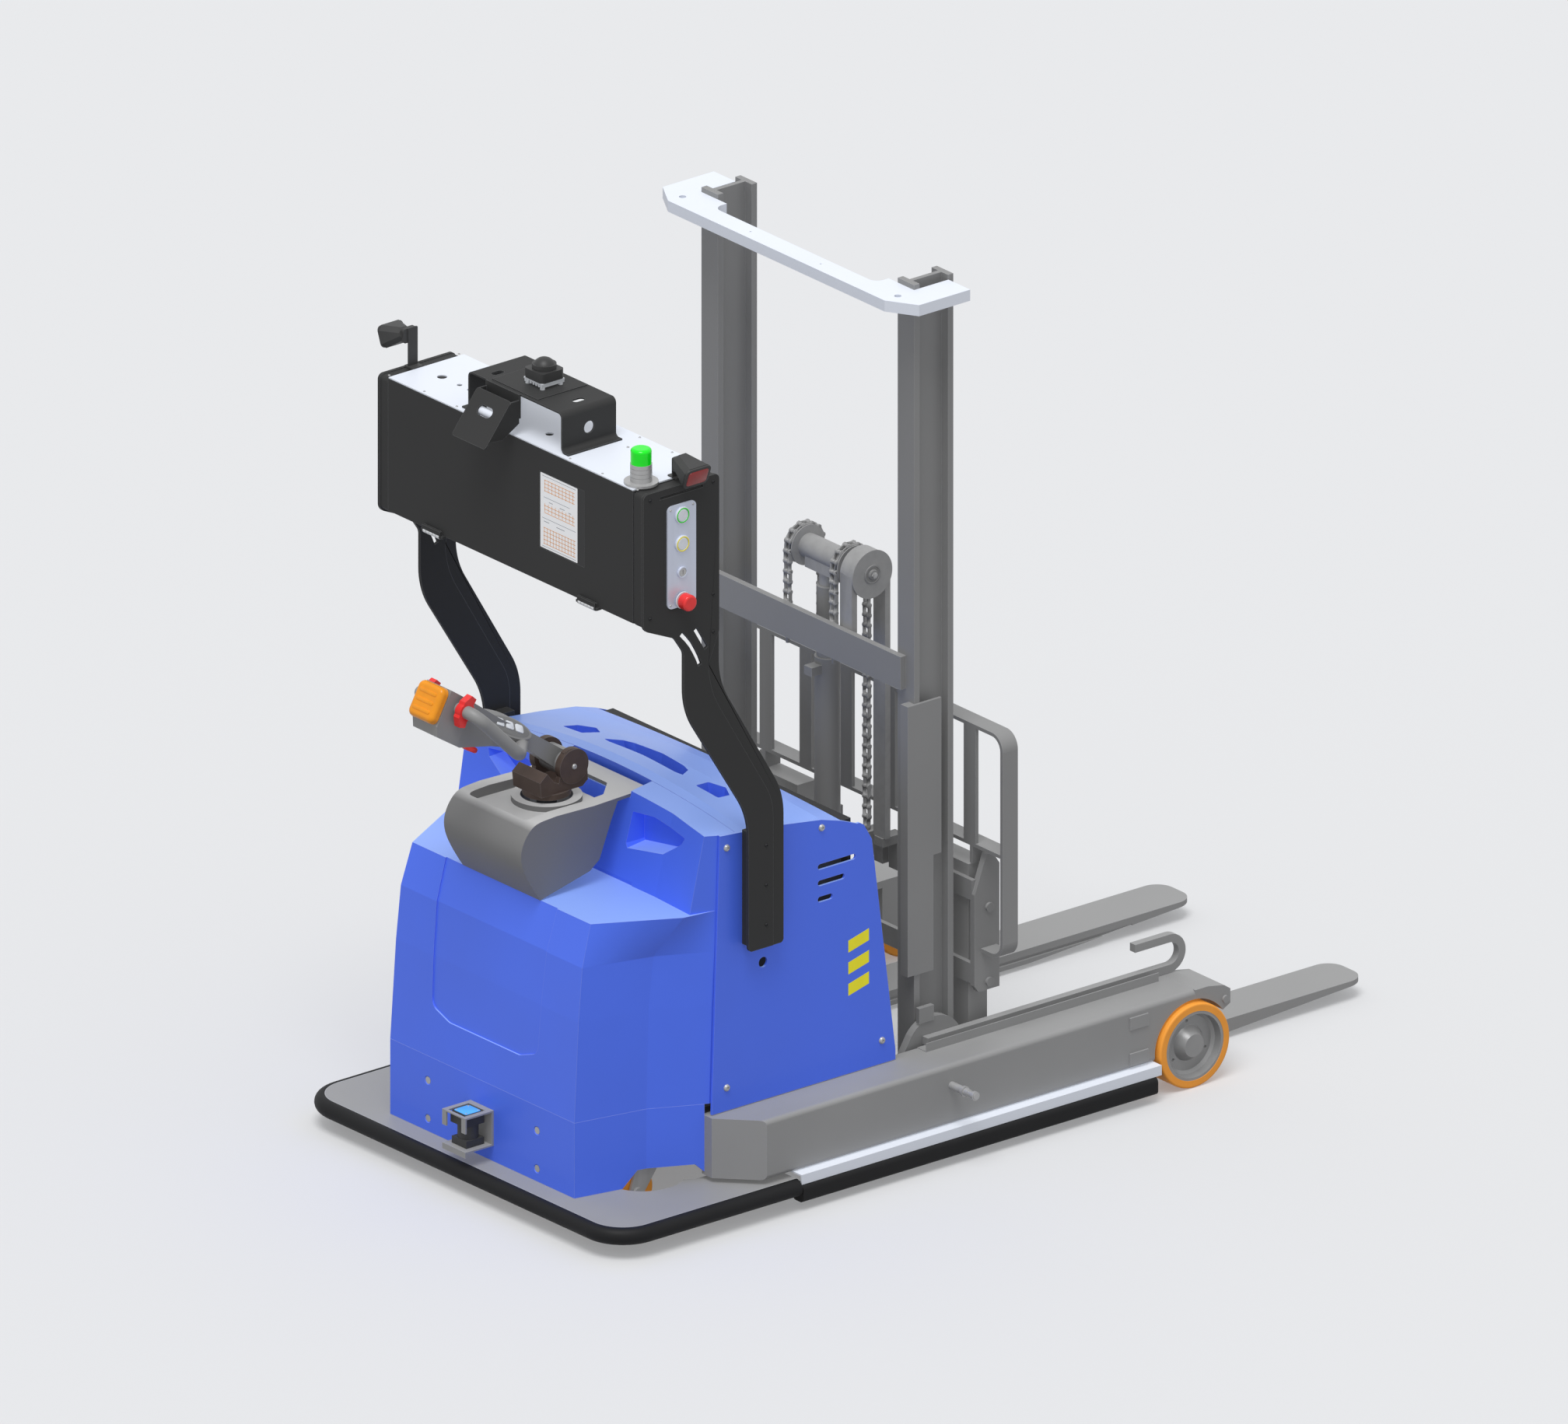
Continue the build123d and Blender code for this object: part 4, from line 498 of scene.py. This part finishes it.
def slab(bm, matrix, outline, low, high, soften=0.0):
    """A plate with this outline of (u, v) in millimetres, from height low to high, edges softened."""
    before = set(bm.verts)
    base = bm.faces.new([bm.verts.new((u / 1000, v / 1000, low / 1000)) for u, v in outline])
    grown = bmesh.ops.extrude_face_region(bm, geom=[base])["geom"]
    top = {g for g in grown if isinstance(g, bmesh.types.BMVert)}
    bmesh.ops.translate(bm, verts=list(top), vec=(0, 0, (high - low) / 1000))
    if soften:
        rim = [e for e in bm.edges if top.issuperset(e.verts)]
        bevelled(bm, rim, soften, 2)
    carry(bm, matrix, before)


def rounded(width, height, radius, corner_steps=4):
    """Outline of a rounded rectangle about the origin."""
    points = []
    for turn, (cu, cv) in enumerate(((1, 1), (-1, 1), (-1, -1), (1, -1))):
        for step in range(corner_steps + 1):
            a = math.radians(90 * turn + 90 * step / corner_steps)
            points.append((cu * (width / 2 - radius) + radius * math.cos(a),
                           cv * (height / 2 - radius) + radius * math.sin(a)))
    return points


def turned_piece(name, matrix, profile, steps, finish_slot, body, material=None):
    """A piece that is one spun profile."""
    bm = bmesh.new()
    turned(bm, matrix, profile, steps)
    piece(name, bm, finish_slot, body, material)


print("a rounded rectangle has", len(rounded(2, 2, 1)), "points")

# %% [markdown]
# ## Screws
#
# The covers and the cabinet are held by small button head screws with a hexagon recess. The profile
# of one is spun, with the recess as a round dip, because a hexagon so small would not be seen. They
# repeat often, so each has few faces. The screws of the cabinet's ends and arms are blackened.

# %% Button head screws
SCREW_PROFILE = [(1, 0), (0.94, 0.3), (0.7, 0.55), (0.42, 0.6), (0.36, 0.25), (0, 0.22)]
SCREW_STEPS = 12


def screw(bm, matrix, radius):
    """A button head screw that stands on the plane."""
    turned(bm, matrix, [(radius * r, radius * h) for r, h in SCREW_PROFILE], SCREW_STEPS)


def screws_on_sides(name, places, face_y, radius, material=None):
    """Screws at places (x, z) on both sides of the truck."""
    bm = bmesh.new()
    for side in (-1, 1):
        for x, z in places:
            screw(bm, side_plane(x, side * face_y, z), radius)
    piece(name, bm, "bright_steel", "chassis", material)


SIDE_PANEL_Y, ARM_FACE_Y = 455.0, 492.0
blackened = finish("blackened_screw", "#2B2B2D", 0.45, drift=0.05, metallic=0.3, cloud=0.01, shine=0.2)
screws_on_sides("side_panel_screws", ((-1032, 883), (-1318, 905), (-1318, 300), (-850, 300)),
                SIDE_PANEL_Y, 9)
screws_on_sides("arm_screws", ((-1578, 1858), (-1388, 1858), (-1578, 1560), (-1388, 1575), (-1388, 1480),
                               (-1228, 900), (-1228, 800), (-1228, 700)), ARM_FACE_Y, 4.5, blackened)

# %% [markdown]
# ## Stripes on the side panels
#
# Three slanting yellow stripes of film, 30 mm tall, warn of the reaching mast. Film is a piece a
# quarter of a millimetre thick, cut to a parallelogram, so it keeps crisp edges.

# %% Yellow stripes
FILM = 0.25
STRIPE_X, STRIPE_HEIGHTS = -920, (570, 515, 461)
STRIPE_W, STRIPE_H, STRIPE_LEAN = 62, 30, 16
film_yellow = finish("yellow_film", "#FFF531", 0.4, drift=0.03, cloud=0.05)
stripe = [(STRIPE_W * u, STRIPE_H * v + STRIPE_LEAN * u) for u, v in
          ((-0.5, -0.5), (0.5, -0.5), (0.5, 0.5), (-0.5, 0.5))]
mirrored_stripe = [(-u, v) for u, v in reversed(stripe)]
stripes = bmesh.new()
for side, outline in ((-1, stripe), (1, mirrored_stripe)):
    for z in STRIPE_HEIGHTS:
        slab(stripes, side_plane(STRIPE_X, side * SIDE_PANEL_Y, z), outline, 0, FILM)
piece("warning_stripes", stripes, "safety_orange", "chassis", film_yellow)

# %% [markdown]
# ## Control panel
#
# The lamps of the two push buttons shine through a coloured ring round each cap: green to start,
# yellow to reset. Each ring is a spun half circle on a white bezel. The stop button stands in a white
# collar and the key switch in a bright rim, both spun too, and four screws hold the panel.

# %% Rings of the push buttons
PANEL_X, BEZEL_Y = -1486.0, -499.0
START_Z, RESET_Z, KEY_Z, STOP_Z = 1801, 1729, 1657, 1587
RING_STEPS = 40
BEZEL = [(20.9, 0), (20.5, 1.4), (19.6, 1.9), (16.4, 1.9), (15.9, 1.2), (15.9, 0)]
RING_RADIUS, RING_W, RING_H = 17.2, 1.5, 0.8
ring_arc = [(RING_RADIUS + RING_W * math.cos(math.pi * step / 6), 1.8 + RING_H * math.sin(math.pi * step / 6))
            for step in range(7)]
for name, z, colour in (("start", START_Z, "#18C818"), ("reset", RESET_Z, "#E6D62C")):
    on_panel = side_plane(PANEL_X, BEZEL_Y, z)
    plastic = finish(f"{name}_ring_plastic", colour, 0.3, drift=0.05, cloud=0.01, coat=0.2, glow=0.1,
                     shine=0.2)
    turned_piece(f"{name}_bezel", on_panel, BEZEL, RING_STEPS, "button_white", "chassis")
    turned_piece(f"{name}_ring", on_panel, ring_arc, RING_STEPS, "button_white", "chassis", plastic)

# %% Collar, key rim and panel screws
PANEL_FACE_Y, PANEL_Z = -496, 1700
SCREW_DX, SCREW_DZ = 34, 120
turned_piece("stop_collar", side_plane(PANEL_X, BEZEL_Y, STOP_Z),
             [(21, 0), (20.8, 1), (20, 1.7), (12.6, 1.7), (12, 1.2), (12, 0)], 36, "button_white", "chassis")
turned_piece("key_rim", side_plane(PANEL_X, BEZEL_Y, KEY_Z),
             [(14, 0), (13.8, 1), (13.2, 1.6), (10.9, 1.6), (10.7, 1.2), (10.7, 0)], 32, "panel_silver",
             "chassis")
panel_screws = bmesh.new()
for dz in (SCREW_DZ, -SCREW_DZ):
    for dx in (-SCREW_DX, SCREW_DX):
        screw(panel_screws, side_plane(PANEL_X + dx, PANEL_FACE_Y, PANEL_Z + dz), 3)
piece("panel_screws", panel_screws, "bright_steel", "chassis")

# %% [markdown]
# ## Screen page
#
# The screen shows a plan of a warehouse: a white page with rows of orange lanes and grey walls. It
# is a made-up plan, drawn as thin raised strips in a loop, so it stays sharp at any distance.

# %% Screen page
SCREEN_X = -1597.7
PAGE_Y, PAGE_Z, PAGE_W, PAGE_H = -178.0, 1723.0, 137.0, 188.0
PAGE_TOP, INK_TOP = 0.15, 0.3
on_screen = rear_plane(SCREEN_X, PAGE_Y, PAGE_Z)
page_white = finish("screen_page", "#F2F3F5", 0.15, drift=0.01, relief=0.000002, glow=0.12)
page = bmesh.new()
slab(page, on_screen, rounded(PAGE_W, PAGE_H, 2), 0, PAGE_TOP)
piece("screen_page", page, "screen_glass", "door", page_white)

# %% Lanes and walls of the plan
LANE = 1.3
lanes, walls = bmesh.new(), bmesh.new()


def strip(bm, u, v, width, height):
    """A thin strip of the plan, centred at (u, v) on the page."""
    outline = [(u + width * du, v + height * dv) for du, dv in
               ((-0.5, -0.5), (0.5, -0.5), (0.5, 0.5), (-0.5, 0.5))]
    slab(bm, on_screen, outline, PAGE_TOP, INK_TOP)


for v in (78, 69, 60, 51, 14, 5, -4):
    strip(lanes, 2, v, 112, LANE)
for column in range(9):
    strip(lanes, -52 + column * 13, 64, LANE, 30)
    strip(lanes, -52 + column * 13, 9, LANE, 22)
for row in range(5):
    strip(lanes, 2, -42 - row * 10, 118, LANE)
for column in range(11):
    strip(lanes, -54 + column * 11, -62, LANE, 42)
for u, v, width, height in ((0, 88, 124, 1), (-8, 35, 96, 1), (0, -18, 124, 1), (-30, 26, 14, 1.4),
                            (12, 24, 18, 1.4), (40, 22, 10, 1.4), (-46, -26, 20, 1.4),
                            (6, -28, 30, 1.4), (0, -89, 124, 1)):
    strip(walls, u, v, width, height)
for name, bm, paint, colour in (("plan_lanes", lanes, "plan_orange", "#EFA04A"),
                                ("plan_walls", walls, "plan_grey", "#8A8F96")):
    piece(name, bm, "screen_glass", "door", finish(paint, colour, 0.3, relief=0.000002))

# %% [markdown]
# ## Chains and hose over the sheave of the lift
#
# The chains and the hose run from the mast over the sheave and down to the carriage. When the ram
# rises, the run behind the sheave grows, the run in front of it shrinks, and the arc between them
# rises with the ram. So a copy of the solid is cut at the height of the sheave axis, and the arc rides
# on the ram. The rear run from the mast and the front run down to the carriage stay where they are.
# On the truck the front run follows the ram where it leaves the arc, which is half the carriage's way,
# and the carriage at its foot. The front run is cut into lengths.

# %% Cutting a copy of the chains
SHEAVE_X, SHEAVE_Z, ANCHOR_Z, CHAIN_FOOT = -644.0, 1332.0, 1165.0, 648.9
COPY_MERGE = 1e-6
PAST_END = 1.0                  # a cut this far past the chain's end takes nothing off it
sheave_axis = place(SHEAVE_X, 0, SHEAVE_Z)


def copy_of(node):
    """A merged copy of a solid's mesh, to cut without touching the solid."""
    bm = bmesh.new()
    bm.from_mesh(frame["nodes"][node].data)
    bm.transform(frame["nodes"][node].matrix_world)
    bmesh.ops.remove_doubles(bm, verts=bm.verts, dist=COPY_MERGE)
    return bm


def keep_side(bm, point, normal):
    """Cut along the plane, drop what lies ahead of normal, and close the cut."""
    cut = bmesh.ops.bisect_plane(bm, geom=bm.verts[:] + bm.edges[:] + bm.faces[:], plane_co=point,
                                 plane_no=normal, clear_outer=True)["geom_cut"]
    bmesh.ops.edgeloop_fill(bm, edges=[g for g in cut if isinstance(g, bmesh.types.BMEdge)])


def side_run(ahead, high, low):
    """The runs on one side of the sheave axis, between two heights in millimetres."""
    run = copy_of("lift_chains")
    keep_side(run, sheave_axis, (ahead, 0, 0))
    keep_side(run, place(0, 0, high), (0, 0, 1))
    keep_side(run, place(0, 0, low), (0, 0, -1))
    return run


print("the sheave axis is", round(sheave_axis.z, 3), "m above the floor")

# %% The arc and the rear run
over_sheave = copy_of("lift_chains")
keep_side(over_sheave, sheave_axis, (0, 0, -1))
chain_arc = shaded("chain_arc", over_sheave, "chain_steel")
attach(chain_arc, "ram")
rear_run = shaded("chain_rear_run", side_run(1, SHEAVE_Z, 0), "chain_steel")
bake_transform(rear_run)

# %% The front run in lengths
CUTS = (SHEAVE_Z, 1160, 1000, 860, 760, 700, 670, CHAIN_FOOT)


for number, (high, low) in enumerate(zip(CUTS, CUTS[1:]), start=1):
    cut_at = low - PAST_END if low == CHAIN_FOOT else low
    length = shaded(f"chain_front_run_{number}", side_run(-1, high, cut_at), "chain_steel")
    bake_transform(length)
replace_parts(chain_arc, "lift_chains")

# %% Hub and bolt of the hose sheave
HUB_Y = -167
BOLT_RADIUS, BOLT_FOOT, BOLT_TOP = 8, 6.4, 11
on_hub = side_plane(SHEAVE_X, HUB_Y, SHEAVE_Z)
turned_piece("sheave_hub", on_hub, [(24, 0), (23.6, 2.4), (20.5, 2.8), (19.5, 1.4), (13, 1.4), (12.6, 5.5),
                                    (11, 6.5), (0, 6.5)], 32, "mast_grey", "ram")
hexagon = [(BOLT_RADIUS * math.cos(math.radians(60 * k)), BOLT_RADIUS * math.sin(math.radians(60 * k)))
           for k in range(6)]
hub_bolt = bmesh.new()
slab(hub_bolt, on_hub, hexagon, BOLT_FOOT, BOLT_TOP, 0.6)
piece("sheave_bolt", hub_bolt, "bright_steel", "ram")

# %% [markdown]
# ## Warning lamps
#
# The solids show each lamp as a plain block. Here each gets its hood: a frustum that widens from the
# back to an open rim, a red lens sunk in the rim, and the folded bracket that holds it to the lid.

# %% Hoods and lenses
RIM, LENS = (76, 56), (60, 40)
HOOD_BEVEL = 11
CORNERS = ((-1, -1), (1, -1), (1, 1), (-1, 1))


def frustum(bm, matrix, back, front, length, soften):
    """A tapered box along n from size back to size front, the edges along it bevelled."""
    before = set(bm.verts)
    ends = [[bm.verts.new((cu * width / 2000, cv * height / 2000, n / 1000)) for cu, cv in CORNERS]
            for (width, height), n in ((back, -length), (front, 0))]
    bm.faces.new(ends[0][::-1])
    bm.faces.new(ends[1])
    for k in range(4):
        after = (k + 1) % 4
        bm.faces.new((ends[0][k], ends[0][after], ends[1][after], ends[1][k]))
    bevelled(bm, [bm.edges.get((ends[0][k], ends[1][k])) for k in range(4)], soften, 1)
    carry(bm, matrix, before)


hoods, lenses = bmesh.new(), bmesh.new()
for centre, v, back, length in (((-1464, -522, 1901), (0, -0.34, 0.94), (44, 40), 62),
                                ((-1524, 530, 1945), (0, 0.34, 0.94), (36, 30), 52)):
    opening = plane(*centre, (1 if centre[1] < 0 else -1, 0, 0), v)
    frustum(hoods, opening, back, RIM, length, HOOD_BEVEL)
    slab(hoods, opening, rounded(RIM[0] - 2, RIM[1] - 2, 12), -1, 5, 1)
    slab(lenses, opening, rounded(*LENS, 8), 4.8, 6, 1)
piece("lamp_hoods", hoods, "dark_plastic", "chassis")
piece("lamp_lenses", lenses, "control_red", "chassis",
      finish("dark_red_lens", "#9C2A2A", 0.25, drift=0.08, cloud=0.02, coat=0.4, shine=0.2))

# %% Lamp brackets
LID_Z = 1879.0
SHEET = 3
brackets = bmesh.new()
for matrix, width, height, radius, thickness in (
        (top_plane(-1510, 468, LID_Z), 34, 30, 3, SHEET),
        (side_plane(-1510, 470, 1928), 28, 98, 3, SHEET),
        (side_plane(-1516, 473, 1958), 40, 36, 6, 12),
        (top_plane(-1464, -452, LID_Z), 34, 34, 3, SHEET),
        (side_plane(-1464, -452, 1904), 34, 52, 4, SHEET),
        (side_plane(-1464, -455, 1914), 38, 36, 6, 20)):
    slab(brackets, matrix, rounded(width, height, radius), 0, thickness)
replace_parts(piece("lamp_brackets", brackets, "dark_plastic", "chassis"), "warning_lamps")

# %% [markdown]
# ## Support arms
#
# The two arms that carry the cabinet are sheet metal cut with wide curves. A strip along the front
# edge of each is folded in a little, so here it is a plate of its own that lies a millimetre and a half
# deeper. The outline is a polygon with an arc at each corner, and the slots and the holes of the
# control panel are cut by a boolean. The strip stays out of that boolean, because plates that share
# an edge confuse it.

# %% Outlines with arcs, and slots
def arced(points, radii, steps=9):
    """The closed polygon with each corner rounded by its radius."""
    outline = []
    for k, (corner, radius) in enumerate(zip(points, radii)):
        here, before, after = Vector(corner), Vector(points[k - 1]), Vector(points[(k + 1) % len(points)])
        if radius == 0:
            outline.append(tuple(here))
            continue
        a, b = (before - here).normalized(), (after - here).normalized()
        half = a.angle(b) / 2
        centre = here + (a + b).normalized() * radius / math.sin(half)
        first = here + a * radius / math.tan(half) - centre
        last = here + b * radius / math.tan(half) - centre
        turn = first.angle_signed(last)
        for step in range(steps + 1):
            outline.append(tuple(centre + Matrix.Rotation(-turn * step / steps, 2) @ first))
    return outline


def band(points, width):
    """Outline of a slot of this width along a line of points."""
    left, right = [], []
    for k, point in enumerate(points):
        ahead = Vector(points[min(k + 1, len(points) - 1)]) - Vector(points[max(k - 1, 0)])
        aside = Vector((-ahead.y, ahead.x)).normalized() * width / 2
        left.append(tuple(Vector(point) + aside))
        right.append(tuple(Vector(point) - aside))
    return left + right[::-1]


def both(low, high):
    """A span from the middle of the truck outwards, on its right and on its left."""
    return (low, high), (-high, -low)


print("the right and the left span of a plate:", both(484, 492))

# %% Plates of the arms
ACROSS = plane(0, 0, 0, (1, 0, 0), (0, 0, 1))
ARM_REAR = [(-1599, 1876), (-1370, 1876), (-1370, 1480), (-1402, 1400), (-1402, 1341), (-1207, 1011),
            (-1207, 643), (-1281, 643), (-1281, 985), (-1477, 1300), (-1477, 1450), (-1505, 1492),
            (-1599, 1534)]
ARM_REAR_R = [14, 14, 0, 0, 230, 160, 0, 10, 200, 200, 30, 30, 24]
ARM_FRONT = [(-1370, 1480), (-1370, 1350), (-1175, 1020), (-1175, 643), (-1207, 643), (-1207, 1011),
             (-1402, 1341), (-1402, 1400)]
ARM_FRONT_R = [0, 198, 192, 10, 0, 160, 230, 0]
CABINET_END = [(-1597, 1874), (-1372, 1874), (-1372, 1536), (-1597, 1536)]
SPACER = [(-1272, 652), (-1216, 652), (-1216, 940), (-1272, 940)]
ARM_BACK_Y, FOLD_FACE_Y = 484, 490.5
CABINET_Y, CABINET_END_Y = 456, 483.9

arms, folds = bmesh.new(), bmesh.new()
for low, high in both(ARM_BACK_Y, ARM_FACE_Y):
    slab(arms, ACROSS, arced(ARM_REAR, ARM_REAR_R), low, high)
for low, high in both(ARM_BACK_Y, FOLD_FACE_Y):
    slab(folds, ACROSS, arced(ARM_FRONT, ARM_FRONT_R), low, high)
for low, high in both(CABINET_Y, CABINET_END_Y):
    slab(arms, ACROSS, arced(CABINET_END, [12] * 4), low, high)
    slab(arms, ACROSS, SPACER, low, high)
print("plates of the arms:", len(arms.faces), "faces")

# %% Slots and holes
LONG_SLOT = [(-1485, 1498), (-1469, 1480), (-1456, 1463), (-1444, 1442), (-1435, 1424), (-1428, 1406)]
SHORT_SLOT = [(-1442, 1500), (-1409, 1444)]
TOP_SLOT = [(-1549, 1856), (-1419, 1856)]
HOLES = ((START_Z, 15.6), (RESET_Z, 15.6), (KEY_Z, 10.6), (STOP_Z, 11.6))
HOLE_Y, HOLE_DEPTH = 450, 50

cutters = bmesh.new()
for low, high in both(ARM_BACK_Y - 1, ARM_FACE_Y + 1):
    slab(cutters, ACROSS, band(LONG_SLOT, 11), low, high)
    slab(cutters, ACROSS, band(SHORT_SLOT, 11), low, high)
    slab(cutters, ACROSS, band(TOP_SLOT, 7), low, high)
for z, radius in HOLES:
    at_hole = ACROSS @ Matrix.Translation((PANEL_X / 1000, z / 1000, HOLE_Y / 1000))
    turned(cutters, at_hole, [(0, 0), (radius, 0), (radius, HOLE_DEPTH), (0, HOLE_DEPTH)], RING_STEPS)
for bm in (arms, cutters):
    bmesh.ops.remove_doubles(bm, verts=bm.verts, dist=MERGE)
rough, cutter = object_of("arm_rough", arms), object_of("arm_cutters", cutters)
cut = rough.modifiers.new("slots", "BOOLEAN")
cut.operation = "DIFFERENCE"
cut.solver = "EXACT"
cut.object = cutter
cut_arms = bmesh.new()
cut_arms.from_object(rough, bpy.context.evaluated_depsgraph_get())
for spent in (rough, cutter):
    bpy.data.objects.remove(spent)
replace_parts(piece("support_arm_sheets", cut_arms, "black_sheet", "chassis"), "support_arms")
piece("support_arm_folds", folds, "black_sheet", "chassis")

# %% [markdown]
# ## Small parts at the back
#
# The scanner wears a blue plate on top. The door hangs on two bright sleeves. The lid has rows of
# small screws, and the tiller pivot has a screw in the middle of each cheek.

# %% Scanner plate
SCANNER_X, SCANNER_TOP = -1729, 205.5
PLATE_TOP = SCANNER_TOP + 1.1   # a tenth below the plate's face, so its screws are sunk in it
# The plate is a label, not a lamp: its faint glow is painted light that makes it brighter.
scanner_blue = finish("scanner_blue", "#5FB6FA", 0.35, drift=0.04, cloud=0.02, coat=0.2, glow=0.05)
scanner_plate, scanner_screws = bmesh.new(), bmesh.new()
slab(scanner_plate, top_plane(SCANNER_X, 0, SCANNER_TOP), rounded(46, 46, 5), 0, 1.2, 0.3)
for dx in (-18, 18):
    for dy in (-18, 18):
        screw(scanner_screws, top_plane(SCANNER_X + dx, dy, PLATE_TOP), 2.4)
piece("scanner_plate", scanner_plate, "lens_green", "chassis", scanner_blue)
piece("scanner_screws", scanner_screws, "bright_steel", "chassis")

# %% Hinge sleeves
HINGE_X, HINGE_Y, HINGE_Z = -1600.8, 287, 1538.0
SLEEVE_LENGTH, SLEEVE_PITCH = 11, 12
SLEEVE = [(0, 0), (5.8, 0), (6.1, 0.6), (6.1, 10.4), (5.8, SLEEVE_LENGTH), (0, SLEEVE_LENGTH)]
bright_hinge = finish("bright_hinge", "#D8DADC", 0.35, drift=0.04, metallic=0.2, cloud=0.01)
sleeves = bmesh.new()
for y in (-HINGE_Y, HINGE_Y):
    for k in range(-2, 3):
        middle = side_plane(HINGE_X, y + SLEEVE_PITCH * k, HINGE_Z)
        turned(sleeves, middle @ Matrix.Translation((0, 0, -SLEEVE_LENGTH / 2000)), SLEEVE, 20)
piece("hinge_sleeves", sleeves, "panel_silver", "door", bright_hinge)

# %% Lid screws and pivot screws
lid_screws, pivot_screws = bmesh.new(), bmesh.new()
for x in (-1590, -1380):
    for y in (-460, -330, -210, 210, 330, 460):
        screw(lid_screws, top_plane(x, y, LID_Z), 3.2)
for y in (-300, -270, -240, 230, 260):
    screw(lid_screws, top_plane(-1440, y, LID_Z), 3.6)
for y in (-57, 57):
    screw(pivot_screws, side_plane(-1453, y, 1020), 7)
piece("lid_screws", lid_screws, "bright_steel", "chassis")
piece("pivot_screws", pivot_screws, "bright_steel", "steer")

# %% [markdown]
# ## Tiller head
#
# On each shoulder of the head, between the ridge and the loop handle, an oval pod carries three white
# buttons. Its work plane leans between the top and the side of the head. The cap has three ribs.

# %% Pods with buttons
HEAD_ANGLE = math.radians(29)
HEAD_X, HEAD_Z = -1612.7, 1140.4
POD_LEAN = math.radians(48)
POD_U, POD_V, POD_STEPS = 76, 29, 40
POD_TOP, PLATE_HIGH, BUTTON_HIGH = 5, 5.6, 8.5
up_head = Vector((-math.cos(HEAD_ANGLE), 0, math.sin(HEAD_ANGLE)))
off_head = Vector((math.sin(HEAD_ANGLE), 0, math.cos(HEAD_ANGLE)))


def on_head(s, y, n):
    """Millimetres from the axle of a point s up the head, y to the left and n above its axis."""
    point = Vector((HEAD_X, 0, HEAD_Z)) + up_head * s + off_head * n
    return (point.x, y, point.z)


def oval(half_u, half_v):
    """Outline of an oval about the origin."""
    turns = [2 * math.pi * k / POD_STEPS for k in range(POD_STEPS)]
    return [(half_u * math.cos(a), half_v * math.sin(a)) for a in turns]


pods, pod_plates, buttons = bmesh.new(), bmesh.new(), bmesh.new()
for side in (-1, 1):
    normal = off_head * math.cos(POD_LEAN) + Vector((0, side, 0)) * math.sin(POD_LEAN)
    u = up_head * side
    shoulder = plane(*on_head(24, side * 33, 5), u, normal.cross(u))
    slab(pods, shoulder, oval(POD_U, POD_V), -20, POD_TOP, 4)
    slab(pod_plates, shoulder, oval(POD_U * 0.86, POD_V * 0.8), POD_TOP - 0.2, PLATE_HIGH, 0.3)
    for s in (-30, 3, 36):
        outline = [(side * s + x, 2 + y) for x, y in rounded(25, 21, 5)]
        slab(buttons, shoulder, outline, PLATE_HIGH - 0.2, BUTTON_HIGH, 1)
piece("head_pods", pods, "tiller_grey", "tiller")
piece("pod_plates", pod_plates, "tiller_grey", "tiller",
      finish("pod_grey", "#7E7E7E", 0.5, drift=0.05, cloud=0.02))
piece("pod_buttons", buttons, "button_white", "tiller")

# %% Ribs of the cap
cap_end = plane(*on_head(277.6, 0, -4), (0, -1, 0), off_head)
ribs = bmesh.new()
for n in (-22, 0, 22):
    slab(ribs, cap_end, [(x, y + n) for x, y in rounded(62, 9, 4.4)], 0, 2.2, 1)
piece("cap_ribs", ribs, "safety_orange", "belly_button")

# %% [markdown]
# ## Two tones on the laser scanner
#
# The scanner on the bridge is one solid, with a pale foot and a dark head. One finish can show both,
# because it can change its colour at a height.

# %% Two tones
LIDAR_HEAD_Z = 1.9996
two_tone = finish("scanner_two_tone", "#DADDE2", 0.45, drift=0.05, cloud=0.05,
                  above=(LIDAR_HEAD_Z, "#3A3A3A"))
frame["nodes"]["lidar"].material_slots[0].material = two_tone
print("the laser scanner is dark above", LIDAR_HEAD_Z, "m")

# %% [markdown]
# ## The size
#
# The box of all that is seen is found, leaving out the floor.

# %% The size
low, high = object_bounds()
